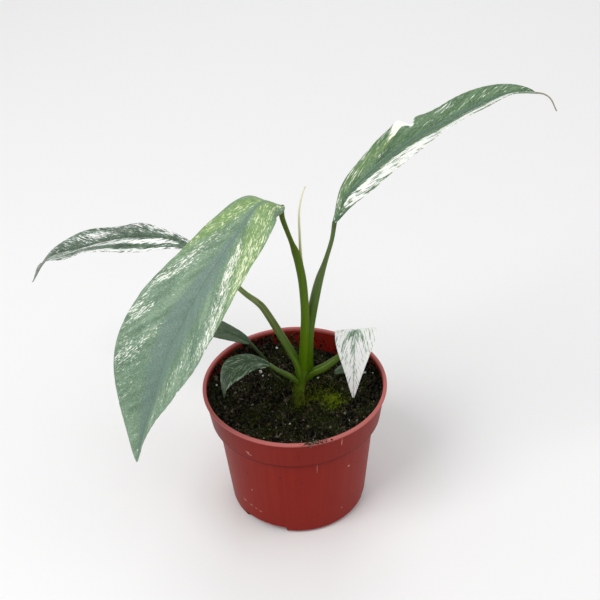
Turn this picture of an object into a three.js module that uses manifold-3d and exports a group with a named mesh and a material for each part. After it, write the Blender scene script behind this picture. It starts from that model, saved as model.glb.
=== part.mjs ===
// A variegated climbing aroid with seven leaves, in a round plastic nursery pot.
// Millimetres, +Z up. The origin is the centre of the pot's underside, on the surface it stands on.
// Headings are degrees from +X towards +Y. The plant is usually seen from -Y.

import * as THREE from 'three';
import { mergeVertices } from 'three/addons/utils/BufferGeometryUtils.js';
import Module from 'manifold-3d';

const wasm = await Module();
wasm.setup();

// Driving dimensions

const GAP = 0.3;

const POT = {
  height: 93,
  lipRadius: 60,
  lipHeight: 1.8,
  collarTopRadius: 58.8,
  collarFootRadius: 56,
  collarFootHeight: 70,
  shoulderRadius: 51.8,
  baseRadius: 45.5,
  cornerRadius: 4.5,
  shoulderRise: 0.6,
  lipRounding: 0.5,
  wall: 1.2,
  floor: 1.4,
  segments: 56,
};

const CHANNEL = {
  headings: [-121.5, -1.5, 118.5],
  halfAngle: 20,
  roofHalfAngle: 22.5,
  height: 5.5,
  innerRadius: 14,
  drainRadius: 3.5,
  drainReach: 34,
};

const SOIL = {
  level: 76,
  relief: 1.3,
  banks: [
    { heading: 125, halfAngle: 38, height: 8, width: 6 },
    { heading: -175, halfAngle: 30, height: 7, width: 5 },
    { heading: 8, halfAngle: 26, height: 8.5, width: 6 },
  ],
  ringFractions: [0.95, 0.86, 0.74, 0.6, 0.46, 0.32, 0.17],
};

const BLADE = {
  thickness: 0.8,
  keelDepth: 1.1,
  baseHalfWidth: 1.6,
  tipHalfWidth: 0.5,
};

const STEM = {
  route: [[2.2, -1, 44], [2.2, -1, 62], [2.2, -0.6, 79], [3.6, 2, 90], [6.2, 4.6, 100]],
  sizes: [[3, 3], [3, 3], [3.1, 3], [3.6, 3.8], [4.6, 4.2]],
};

const NEW_LEAF = {
  heading: 200,
  route: [
    [9.8, 3.6, 152], [9, 2.6, 170], [7.2, 3.4, 187], [6.8, 4.6, 204],
    [7, 5, 220], [9.2, 5, 232], [11, 5, 237],
  ],
  sizes: [[0.9, 0.9], [1, 1], [1, 1], [0.9, 0.8], [0.7, 0.6], [0.5, 0.5], [0.4, 0.4]],
};

// Each leaf: blade midrib from base to tip, and the stalk's route with its half widths.
// fold lifts both halves from the midrib, sag curves the margins down again, roll turns the blade.

const LEAVES = [
  {
    name: 'right_leaf',
    heading: 14,
    midrib: [
      [27.7, 8.9, 209.5], [39.7, 11.9, 231], [70.1, 19.8, 254.1], [99.2, 26.6, 266],
      [127.9, 33.7, 276.5], [147.5, 38.6, 275.1], [157, 41.1, 270.8], [162.8, 42.6, 260.5],
    ],
    halfWidth: 19.2,
    widest: 0.49,
    roundness: [1.07, 0.63],
    fold: [-3, 15.5, 31],
    sag: 0.05,
    roll: [-18, 9.5, 3],
    wave: { height: 0.9, count: 3.5, phase: 0.8 },
    crimp: { side: -1, at: 0.395, spread: 0.035, lift: 2, notch: 0.25 },
    thread: 0.13,
    steps: 28,
    columns: 4,
    color: 0x7d9a7c,
    stalk: {
      route: [
        [9.4, 8.4, 92], [9.7, 8.4, 107], [10.3, 8.2, 119], [11.3, 7.9, 131], [13.5, 7.6, 145],
        [15.3, 7.2, 158], [18, 7.2, 169.5], [21.9, 7.6, 182.5], [26, 8.3, 197], [27.9, 8.9, 209.3],
      ],
      sizes: [
        [2.8, 2.8], [2.8, 2.8], [2.8, 2.8], [2.9, 2.9], [3.1, 3],
        [3.2, 3], [2.6, 2.5], [1.6, 1.6], [1.4, 1.35], [1.5, 1.5],
      ],
      groove: 0.15,
    },
  },
  {
    name: 'front_leaf',
    heading: 213,
    midrib: [
      [-1.8, -0.8, 228.6], [-15.4, -9.6, 236], [-32.3, -20.6, 218.6], [-52, -33.4, 193.3],
      [-71.8, -46.2, 160], [-86.7, -55.9, 122.6], [-97.7, -63, 87.3],
    ],
    halfWidth: 33.5,
    widest: 0.48,
    roundness: [0.73, 0.8],
    fold: [-27, 21, 34],
    sag: 0,
    roll: [-2, 8, 4],
    wave: { height: 5.5, count: 1.6, phase: 6.1 },
    thread: 0,
    steps: 26,
    columns: 4,
    color: 0x6f9473,
    stalk: {
      route: [
        [5.8, 4.4, 92], [5.9, 4, 107], [6.7, 3, 119], [7.5, 2.3, 131], [8.2, 1.8, 145],
        [8.1, 1.4, 158], [7.3, 1.2, 173], [5.5, 0.8, 186.5], [3.7, 0.6, 195], [1.4, 0.4, 203],
        [-2.8, 0.1, 218], [-3.4, -0.4, 225], [-2.4, -1.2, 228.4],
      ],
      sizes: [
        [2.6, 2.6], [2.6, 2.6], [2.6, 2.6], [2.6, 2.6], [2.6, 2.6],
        [2.6, 2.6], [2.6, 2.6], [2.5, 2.5], [2.4, 2.3], [1.5, 1.5],
        [1.6, 1.6], [1.8, 1.8], [1.6, 1.6],
      ],
      groove: 0.15,
    },
  },
  {
    name: 'left_leaf',
    heading: 150,
    midrib: [
      [-53.7, 36.3, 173], [-76.5, 49.5, 175.8], [-104.7, 65.8, 167.7], [-134.7, 83, 151],
      [-169, 103, 129.4], [-187, 113, 102],
    ],
    halfWidth: 20,
    widest: 0.53,
    roundness: [1.13, 1.19],
    fold: [-28.5, 12, 13],
    sag: 0.05,
    roll: [19.5, -1.5, 15],
    wave: { height: 1.2, count: 3, phase: 0.9 },
    thread: 0,
    steps: 26,
    columns: 4,
    color: 0x8fa893,
    stalk: {
      route: [
        [4.4, 1, 92], [3.9, 1, 99], [2, 3, 107.5], [-2.1, 6, 115.3], [-9.3, 11, 127.6],
        [-17.3, 16.2, 140.6], [-22, 19, 145], [-31, 25, 149.5], [-45, 33, 162], [-53.3, 36.1, 172.6],
      ],
      sizes: [
        [3, 2.5], [3, 2.5], [3, 2.4], [3, 2.4], [2.9, 2.2],
        [2.6, 1.9], [2.3, 1.8], [1.9, 1.5], [1.6, 1.5], [1.7, 1.5],
      ],
    },
  },
  {
    name: 'small_white_leaf',
    heading: -90,
    midrib: [
      [37, 11.5, 113], [38.5, 8, 125], [39.9, 2, 132.3],
      [38.8, -4.5, 125.7], [38, -9.5, 108], [37.4, -14, 90],
    ],
    halfWidth: 13.2,
    widest: 0.33,
    roundness: [2.3, 1],
    fold: [3.5, 3.5, 3.5],
    sag: 0.04,
    roll: [-1.5, -1.5, -1.5],
    wave: { height: 0.5, count: 2, phase: 0.3 },
    thread: 0,
    steps: 16,
    columns: 3,
    color: 0xe4ebe0,
    stalk: {
      route: [
        [7.4, 2.6, 94], [12.8, 1.2, 100.3], [16.8, 1.3, 102.3], [21.6, 2.4, 104.4],
        [29.5, 6, 108.5], [34.6, 9.2, 111], [36.8, 11, 112.6],
      ],
      sizes: [[2.4, 2.5], [2.7, 2.7], [2.9, 2.8], [2.8, 2.7], [2.2, 2.2], [1.7, 1.7], [1.5, 1.5]],
      heading: -5,
    },
  },
  {
    name: 'small_left_leaf',
    heading: 195,
    midrib: [
      [-15.9, -4.2, 112.6], [-27.5, -7.2, 117.5], [-39.5, -10.6, 114],
      [-45.4, -12.2, 105], [-45.6, -12.6, 93],
    ],
    halfWidth: 10.5,
    widest: 0.5,
    roundness: [0.7, 0.9],
    fold: [6, 6, 6],
    sag: 0.15,
    roll: [0, 4, 0],
    wave: { height: 0.4, count: 2, phase: 0 },
    thread: 0,
    steps: 14,
    columns: 3,
    color: 0x6d8f6c,
    stalk: {
      route: [[3.4, 0.6, 91], [-0.6, -0.9, 97], [-5.4, -2, 101.8], [-11, -3, 107], [-15.7, -4.1, 112.4]],
      sizes: [[2.2, 2.1], [2.2, 2.1], [2, 1.9], [1.6, 1.5], [1.4, 1.3]],
    },
  },
  {
    name: 'dark_back_leaf',
    heading: 165,
    midrib: [[-28.5, 23.4, 108.8], [-38, 26, 113], [-51, 29.5, 117], [-66, 33.4, 118], [-80, 37, 112]],
    halfWidth: 8.8,
    widest: 0.45,
    roundness: [0.8, 1],
    fold: [8, 8, 8],
    sag: 0.1,
    roll: [0, 0, 0],
    wave: { height: 0.4, count: 2, phase: 0.5 },
    thread: 0,
    steps: 14,
    columns: 3,
    color: 0x43604c,
    stalk: {
      route: [
        [-6.6, 17.5, 58], [-6.6, 17.5, 72], [-9, 18.2, 80], [-13.4, 19.3, 83.5],
        [-16.4, 20.2, 89], [-18.6, 20.9, 95.5], [-23.6, 22.2, 102.4], [-28.2, 23.3, 108.4],
      ],
      sizes: [[1, 1], [1, 1], [1, 1], [1, 1], [1, 1], [1, 1], [1.1, 1.1], [1.2, 1.2]],
      inSoil: true,
    },
  },
  {
    name: 'tiny_leaf',
    heading: 8,
    midrib: [[26.9, 14.4, 88.2], [33, 15.4, 91], [39, 16.2, 94], [44, 17, 94.5]],
    halfWidth: 4.6,
    widest: 0.45,
    roundness: [0.7, 0.9],
    fold: [4, 4, 4],
    sag: 0.1,
    roll: [0, 0, 0],
    wave: { height: 0.2, count: 1, phase: 0 },
    thread: 0,
    steps: 10,
    columns: 2,
    color: 0x6d8a74,
    stalk: {
      route: [[23, 13.8, 58], [23, 13.8, 72], [23.8, 14, 80], [26, 14.3, 84], [26.8, 14.4, 87.8]],
      sizes: [[0.8, 0.8], [0.8, 0.8], [0.8, 0.8], [0.8, 0.8], [0.9, 0.9]],
      inSoil: true,
    },
  },
];

const COLORS = {
  pot: 0x85231d,
  soil: 0x1e1a15,
  stem: 0x4b6b1e,
  stalk: 0x53762b,
  newLeaf: 0xd9dba6,
};

// Helpers

const radians = THREE.MathUtils.degToRad;
const vector = (point) => new THREE.Vector3(...point);

function curveThrough(points) {
  return new THREE.CatmullRomCurve3(points.map(vector), false, 'catmullrom', 0.5);
}

function bufferGeometry(positions, triangles) {
  const geometry = new THREE.BufferGeometry();
  geometry.setAttribute('position', new THREE.Float32BufferAttribute(positions, 3));
  geometry.setIndex(triangles);
  return geometry;
}

function solidFrom(geometry) {
  const bare = geometry.clone();
  bare.deleteAttribute('normal');
  bare.deleteAttribute('uv');
  const merged = mergeVertices(bare, 1e-4);
  const corners = merged.index.array;
  const kept = [];
  for (let k = 0; k < corners.length; k += 3) {
    const [a, b, c] = corners.slice(k, k + 3);
    if (a !== b && b !== c && c !== a) kept.push(a, b, c);
  }
  return new wasm.Manifold(new wasm.Mesh({
    numProp: 3,
    vertProperties: new Float32Array(merged.attributes.position.array),
    triVerts: new Uint32Array(kept),
  }));
}

function geometryFrom(solid) {
  const mesh = solid.getMesh();
  return bufferGeometry(Array.from(mesh.vertProperties), Array.from(mesh.triVerts));
}

// How far an end station moves outwards on a grown copy
function endStretch(i, steps, clearance) {
  if (i === 0) return -clearance;
  return i === steps ? clearance : 0;
}

function largestPiece(solid) {
  return solid.decompose().reduce((best, piece) => (piece.volume() > best.volume() ? piece : best));
}

// Pot

function lathe(profile) {
  const points = profile.map(([radius, z]) => new THREE.Vector2(radius, z));
  return new THREE.LatheGeometry(points, POT.segments).rotateX(Math.PI / 2);
}

function cornerArc(steps) {
  const centre = POT.baseRadius - POT.cornerRadius;
  return Array.from({ length: steps + 1 }, (_, k) => {
    const angle = (Math.PI / 2) * (k / steps);
    return [centre + POT.cornerRadius * Math.sin(angle), POT.cornerRadius * (1 - Math.cos(angle))];
  });
}

function outerProfile() {
  return [
    [0, 0],
    ...cornerArc(3),
    [POT.shoulderRadius, POT.collarFootHeight],
    [POT.collarFootRadius, POT.collarFootHeight + POT.shoulderRise],
    [POT.collarTopRadius, POT.height - POT.lipHeight],
    [POT.lipRadius, POT.height - POT.lipHeight],
    [POT.lipRadius, POT.height - POT.lipRounding],
    [POT.lipRadius - POT.lipRounding, POT.height],
    [0, POT.height],
  ];
}

function cavityProfile(clearance, top) {
  const inset = POT.wall + clearance;
  return [
    [0, POT.floor + clearance],
    [POT.baseRadius - POT.cornerRadius - clearance, POT.floor + clearance],
    [POT.baseRadius - inset, POT.floor + clearance + POT.cornerRadius - POT.wall],
    [POT.shoulderRadius - inset, POT.collarFootHeight + clearance],
    [POT.collarFootRadius - inset, POT.collarFootHeight + POT.wall + clearance],
    [POT.collarTopRadius - inset, top],
  ];
}

function sector(heading, halfAngle, innerRadius, outerRadius, bottom, top) {
  const start = radians(heading - halfAngle);
  const end = radians(heading + halfAngle);
  const outline = new THREE.Shape();
  outline.absarc(0, 0, outerRadius, start, end, false);
  outline.absarc(0, 0, innerRadius, end, start, true);
  const options = { depth: top - bottom, bevelEnabled: false, curveSegments: 5 };
  return solidFrom(new THREE.ExtrudeGeometry(outline, options).translate(0, 0, bottom));
}

function channelRoof(heading, clearance) {
  const halfAngle = CHANNEL.roofHalfAngle + THREE.MathUtils.radToDeg(clearance / CHANNEL.innerRadius);
  const inner = CHANNEL.innerRadius - POT.wall - clearance;
  return sector(heading, halfAngle, inner, POT.lipRadius, -1, CHANNEL.height + POT.floor + clearance);
}

function drainHole(heading) {
  const depth = 4 * POT.floor;
  const hole = new THREE.CylinderGeometry(CHANNEL.drainRadius, CHANNEL.drainRadius, depth, 16);
  const angle = radians(heading);
  hole.rotateX(Math.PI / 2);
  hole.translate(CHANNEL.drainReach * Math.cos(angle), CHANNEL.drainReach * Math.sin(angle), CHANNEL.height);
  return solidFrom(hole);
}

function potSolid() {
  const outer = solidFrom(lathe(outerProfile()));
  const cavityTop = POT.height + 1;
  let cavity = solidFrom(lathe([...cavityProfile(0, cavityTop), [0, cavityTop]]));
  for (const heading of CHANNEL.headings) cavity = cavity.subtract(channelRoof(heading, 0));
  let pot = outer.subtract(cavity);
  for (const heading of CHANNEL.headings) {
    const { halfAngle, innerRadius, height } = CHANNEL;
    pot = pot.subtract(sector(heading, halfAngle, innerRadius, POT.lipRadius, -1, height));
    pot = pot.subtract(drainHole(heading));
  }
  return pot;
}

// Soil

function soilHeight(x, y) {
  const clods = Math.sin(0.31 * x + 1.3) * Math.cos(0.27 * y - 0.6) + 0.6 * Math.sin(0.53 * y - 0.44 * x);
  const reach = Math.hypot(x, y);
  const heading = THREE.MathUtils.radToDeg(Math.atan2(y, x));
  const raised = SOIL.banks.reduce((sum, bank) => {
    const apart = (heading - bank.heading + 540) % 360 - 180;
    const turn = apart / bank.halfAngle;
    const toWall = (POT.collarFootRadius - reach) / bank.width;
    return sum + bank.height * Math.exp(-turn * turn - toWall * toWall);
  }, 0);
  return SOIL.level + SOIL.relief * clods + raised;
}

function soilSolid(stalksInSoil) {
  const wallLine = cavityProfile(GAP, POT.height);
  const [foot, rim] = wallLine.slice(-2);
  const slope = (rim[0] - foot[0]) / (rim[1] - foot[1]);
  const around = POT.segments;
  const rings = wallLine.slice(1, -1).map(([radius, z]) => () => [radius, z]);
  for (const fraction of [1, ...SOIL.ringFractions]) {
    rings.push((angle) => {
      const x = Math.cos(angle) * foot[0];
      const y = Math.sin(angle) * foot[0];
      const edge = foot[0] + slope * (soilHeight(x, y) - foot[1]);
      const radius = edge * fraction;
      return [radius, soilHeight(Math.cos(angle) * radius, Math.sin(angle) * radius)];
    });
  }
  const positions = [0, 0, wallLine[0][1]];
  for (const ring of rings) {
    for (let k = 0; k < around; k += 1) {
      const angle = (2 * Math.PI * k) / around;
      const [radius, z] = ring(angle);
      positions.push(radius * Math.cos(angle), radius * Math.sin(angle), z);
    }
  }
  positions.push(0, 0, soilHeight(0, 0));
  const last = rings.length * around + 1;
  const triangles = [];
  for (let k = 0; k < around; k += 1) {
    const next = (k + 1) % around;
    triangles.push(0, 1 + next, 1 + k);
    for (let ring = 0; ring < rings.length - 1; ring += 1) {
      const low = 1 + ring * around;
      const high = low + around;
      triangles.push(low + k, low + next, high + next, low + k, high + next, high + k);
    }
    triangles.push(last - around + k, last - around + next, last);
  }
  let soil = solidFrom(bufferGeometry(positions, triangles));
  for (const heading of CHANNEL.headings) soil = soil.subtract(channelRoof(heading, GAP));
  for (const stalk of stalksInSoil) soil = soil.subtract(stalk);
  return soil;
}

// Leaf blades

function bladeProfile(leaf, t) {
  const along = Math.min(t / (1 - leaf.thread), 1);
  const shifted = Math.pow(along, Math.log(0.5) / Math.log(leaf.widest));
  const exponent = THREE.MathUtils.lerp(leaf.roundness[0], leaf.roundness[1], along);
  return Math.pow(Math.max(Math.sin(Math.PI * shifted), 0), exponent);
}

function keyed([base, middle, tip], t) {
  return t < 0.5 ? THREE.MathUtils.lerp(base, middle, 2 * t) : THREE.MathUtils.lerp(middle, tip, 2 * t - 1);
}

function growthFrame(tangent, heading) {
  const right = new THREE.Vector3(Math.sin(radians(heading)), -Math.cos(radians(heading)), 0);
  right.addScaledVector(tangent, -right.dot(tangent)).normalize();
  return { right, up: new THREE.Vector3().crossVectors(right, tangent) };
}

function crimpAt(leaf, side, t) {
  const crimp = leaf.crimp;
  if (!crimp || Math.sign(side) !== crimp.side) return { lift: 0, width: 1 };
  const bump = Math.exp(-(((t - crimp.at) / crimp.spread) ** 2));
  const cut = Math.exp(-(((t - crimp.at - crimp.spread) / (0.5 * crimp.spread)) ** 2));
  return { lift: crimp.lift * bump, width: 1 - crimp.notch * cut };
}

function bladeGrid(leaf, clearance) {
  const curve = curveThrough(leaf.midrib);
  const narrow = (t) => THREE.MathUtils.lerp(BLADE.baseHalfWidth, BLADE.tipHalfWidth, t);
  return Array.from({ length: leaf.steps + 1 }, (_, i) => {
    const t = i / leaf.steps;
    const tangent = curve.getTangentAt(t);
    const { right, up } = growthFrame(tangent, leaf.heading);
    const centre = curve.getPointAt(t).addScaledVector(tangent, endStretch(i, leaf.steps, clearance));
    const roll = radians(keyed(leaf.roll, t));
    const fold = radians(keyed(leaf.fold, t));
    const across = right.clone().multiplyScalar(Math.cos(roll)).addScaledVector(up, Math.sin(roll));
    const above = up.clone().multiplyScalar(Math.cos(roll)).addScaledVector(right, -Math.sin(roll));
    const shape = bladeProfile(leaf, t);
    return Array.from({ length: 2 * leaf.columns + 1 }, (__, j) => {
      const side = j / leaf.columns - 1;
      const crimp = crimpAt(leaf, side, t);
      const half = narrow(t) + (leaf.halfWidth - narrow(t)) * shape * crimp.width + clearance;
      const ripple = Math.sin(2 * Math.PI * leaf.wave.count * t + leaf.wave.phase + side);
      const lift = Math.abs(side) * half * Math.sin(fold)
        + side * side * shape * (leaf.wave.height * ripple + crimp.lift - leaf.sag * leaf.halfWidth);
      return centre.clone()
        .addScaledVector(across, side * half * Math.cos(fold))
        .addScaledVector(above, lift);
    });
  });
}

function gridNormal(grid, i, j) {
  const rows = grid.length - 1;
  const columns = grid[0].length - 1;
  const across = grid[i][Math.min(j + 1, columns)].clone().sub(grid[i][Math.max(j - 1, 0)]);
  const along = grid[Math.min(i + 1, rows)][j].clone().sub(grid[Math.max(i - 1, 0)][j]);
  return across.cross(along).normalize();
}

function bladeSolid(leaf, clearance = 0) {
  const grid = bladeGrid(leaf, clearance);
  const rows = grid.length;
  const columns = grid[0].length;
  const positions = [];
  for (const face of [1, -1]) {
    for (let i = 0; i < rows; i += 1) {
      const keel = BLADE.keelDepth * (1 - i / (rows - 1));
      for (let j = 0; j < columns; j += 1) {
        const extra = face < 0 && j === leaf.columns ? keel : 0;
        const offset = face * (BLADE.thickness / 2 + extra + clearance);
        positions.push(...grid[i][j].clone().addScaledVector(gridNormal(grid, i, j), offset).toArray());
      }
    }
  }
  const top = (i, j) => i * columns + j;
  const under = (i, j) => rows * columns + i * columns + j;
  const triangles = [];
  const quad = (a, b, c, d) => triangles.push(a, b, c, a, c, d);
  for (let i = 0; i < rows - 1; i += 1) {
    for (let j = 0; j < columns - 1; j += 1) {
      quad(top(i, j), top(i, j + 1), top(i + 1, j + 1), top(i + 1, j));
      triangles.push(under(i, j), under(i + 1, j + 1), under(i, j + 1));
      triangles.push(under(i, j), under(i + 1, j), under(i + 1, j + 1));
    }
    quad(top(i, 0), top(i + 1, 0), under(i + 1, 0), under(i, 0));
    quad(top(i, columns - 1), under(i, columns - 1), under(i + 1, columns - 1), top(i + 1, columns - 1));
  }
  for (let j = 0; j < columns - 1; j += 1) {
    quad(top(0, j), under(0, j), under(0, j + 1), top(0, j + 1));
    quad(top(rows - 1, j), top(rows - 1, j + 1), under(rows - 1, j + 1), under(rows - 1, j));
  }
  return solidFrom(bufferGeometry(positions, triangles));
}

// Stalks and stem: an oval section with a groove on its upper side, swept along a route

function stalkSolid({ route, sizes, heading, groove = 0.35 }, clearance = 0) {
  const curve = curveThrough(route);
  const sides = 8;
  const steps = 2 * (route.length - 1);
  const positions = [];
  const addPoint = (point) => positions.push(point.x, point.y, point.z);
  for (let i = 0; i <= steps; i += 1) {
    const t = i / steps;
    const tangent = curve.getTangent(t);
    const centre = curve.getPoint(t).addScaledVector(tangent, endStretch(i, steps, clearance));
    const { right, up } = growthFrame(tangent, heading);
    const key = Math.min(Math.floor(t * (sizes.length - 1)), sizes.length - 2);
    const blend = t * (sizes.length - 1) - key;
    const halfWidth = THREE.MathUtils.lerp(sizes[key][0], sizes[key + 1][0], blend);
    const halfHeight = THREE.MathUtils.lerp(sizes[key][1], sizes[key + 1][1], blend);
    for (let k = 0; k < sides; k += 1) {
      const angle = (2 * Math.PI * (k + 0.5)) / sides;
      const height = Math.sin(angle);
      const hollow = height > 0 ? 1 - groove * height * height : 1;
      addPoint(centre.clone()
        .addScaledVector(right, (halfWidth + clearance) * Math.cos(angle))
        .addScaledVector(up, (halfHeight * hollow + clearance) * height));
    }
  }
  const start = positions.length / 3;
  addPoint(curve.getPoint(0).addScaledVector(curve.getTangent(0), -clearance));
  addPoint(curve.getPoint(1).addScaledVector(curve.getTangent(1), clearance));
  const triangles = [];
  for (let k = 0; k < sides; k += 1) {
    const next = (k + 1) % sides;
    triangles.push(start, k, next);
    for (let i = 0; i < steps; i += 1) {
      const low = i * sides;
      const high = low + sides;
      triangles.push(low + k, high + next, low + next, low + k, high + k, high + next);
    }
    triangles.push(start + 1, steps * sides + next, steps * sides + k);
  }
  return solidFrom(bufferGeometry(positions, triangles));
}

// Assembly

const plant = new THREE.Group();

function addMesh(name, solid, color, roughness) {
  const material = new THREE.MeshStandardMaterial({ color, roughness, metalness: 0 });
  const mesh = new THREE.Mesh(geometryFrom(solid), material);
  mesh.name = name;
  plant.add(mesh);
}

function stalkSpec(leaf) {
  return { heading: leaf.heading, ...leaf.stalk };
}

const stemSpec = { ...STEM, heading: -90, groove: 0 };
const standing = [stemSpec, ...LEAVES.filter((leaf) => leaf.stalk.inSoil).map(stalkSpec)];
addMesh('pot', potSolid(), COLORS.pot, 0.45);
addMesh('soil', soilSolid(standing.map((spec) => stalkSolid(spec, GAP))), COLORS.soil, 0.95);
addMesh('stem', stalkSolid(stemSpec), COLORS.stem, 0.5);

const neighbours = [stalkSolid(stemSpec, GAP)];
const clearOf = (solid, others) => largestPiece(others.reduce((cut, other) => cut.subtract(other), solid));
for (const leaf of LEAVES) {
  const spec = stalkSpec(leaf);
  const stalk = clearOf(stalkSolid(spec), [...neighbours, bladeSolid(leaf, GAP)]);
  addMesh(`${leaf.name}_blade`, bladeSolid(leaf), leaf.color, 0.4);
  addMesh(`${leaf.name}_stalk`, stalk, COLORS.stalk, 0.45);
  neighbours.push(stalkSolid(spec, GAP));
}
addMesh('new_leaf_spike', clearOf(stalkSolid(NEW_LEAF), neighbours), COLORS.newLeaf, 0.5);

export default plant;
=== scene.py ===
import math
import random

import bmesh
import bpy
import numpy as np
from mathutils import Matrix, Vector, noise


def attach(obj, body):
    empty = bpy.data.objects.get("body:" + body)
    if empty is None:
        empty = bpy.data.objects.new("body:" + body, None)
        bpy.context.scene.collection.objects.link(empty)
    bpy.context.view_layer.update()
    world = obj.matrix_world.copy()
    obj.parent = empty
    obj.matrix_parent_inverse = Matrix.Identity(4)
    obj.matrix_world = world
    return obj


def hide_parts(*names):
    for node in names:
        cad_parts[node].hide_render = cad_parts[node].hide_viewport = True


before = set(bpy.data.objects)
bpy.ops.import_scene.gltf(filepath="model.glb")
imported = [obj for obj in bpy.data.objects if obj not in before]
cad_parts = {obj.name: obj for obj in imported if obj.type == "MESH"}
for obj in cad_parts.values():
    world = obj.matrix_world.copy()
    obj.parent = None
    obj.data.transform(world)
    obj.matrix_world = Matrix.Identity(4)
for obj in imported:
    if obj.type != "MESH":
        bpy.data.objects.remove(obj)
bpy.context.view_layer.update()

# Sizes are in millimetres, in the frame of the CAD part, and MM turns them into metres.
# Headings are degrees from +X towards +Y. On a leaf, t runs from 0 at the base to 1 at the tip,
# and side from -1 to 1 across the blade, with 0 at the midrib.

MM = 0.001

# Camera, light and floor

FOCAL_PIXELS = 1200
PHOTO_PIXELS = 600
SENSOR_WIDTH = 36
CAMERA_PLACE = (5.5, -599.9, 595.7)
CAMERA_PITCH = 36.05
CAMERA_ROLL = -2.14

LIGHTS = {
    "key": {"place": (-900, -700, 1500), "size": 1000, "watts": 18},
    "fill": {"place": (1200, -500, 900), "size": 1100, "watts": 4},
    "back": {"place": (200, 1300, 1300), "size": 1000, "watts": 5},
}
SKY_STRENGTH = 0.5


def make_camera():
    data = bpy.data.cameras.new("camera")
    data.sensor_width = SENSOR_WIDTH
    data.lens = SENSOR_WIDTH * FOCAL_PIXELS / PHOTO_PIXELS
    camera = bpy.data.objects.new("camera", data)
    tilt = Matrix.Rotation(math.radians(90 - CAMERA_PITCH), 4, "X")
    roll = Matrix.Rotation(math.radians(CAMERA_ROLL), 4, "Z")
    camera.matrix_world = Matrix.Translation(Vector(CAMERA_PLACE) * MM) @ tilt @ roll
    bpy.context.scene.collection.objects.link(camera)
    bpy.context.scene.camera = camera


def make_light(name, place, size, watts):
    data = bpy.data.lights.new(name, "AREA")
    data.size = size * MM
    data.energy = watts
    light = bpy.data.objects.new(name, data)
    light.location = Vector(place) * MM
    light.rotation_euler = (-light.location).to_track_quat("-Z", "Y").to_euler()
    bpy.context.scene.collection.objects.link(light)


def make_sky():
    world = bpy.data.worlds.new("sky")
    world.use_nodes = True
    background = world.node_tree.nodes["Background"]
    background.inputs["Color"].default_value = (1, 1, 1, 1)
    background.inputs["Strength"].default_value = SKY_STRENGTH
    bpy.context.scene.world = world
    bpy.context.scene.view_settings.view_transform = "Standard"


# Shaders: one object for each material, with a short call for each kind of node

def linear(color):
    """A colour as it looks in a picture, 0 to 255, as the linear values that shaders use."""
    shares = [c / 255 for c in color]
    return tuple(c / 12.92 if c <= 0.04045 else ((c + 0.055) / 1.055) ** 2.4 for c in shares) + (1,)


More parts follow.
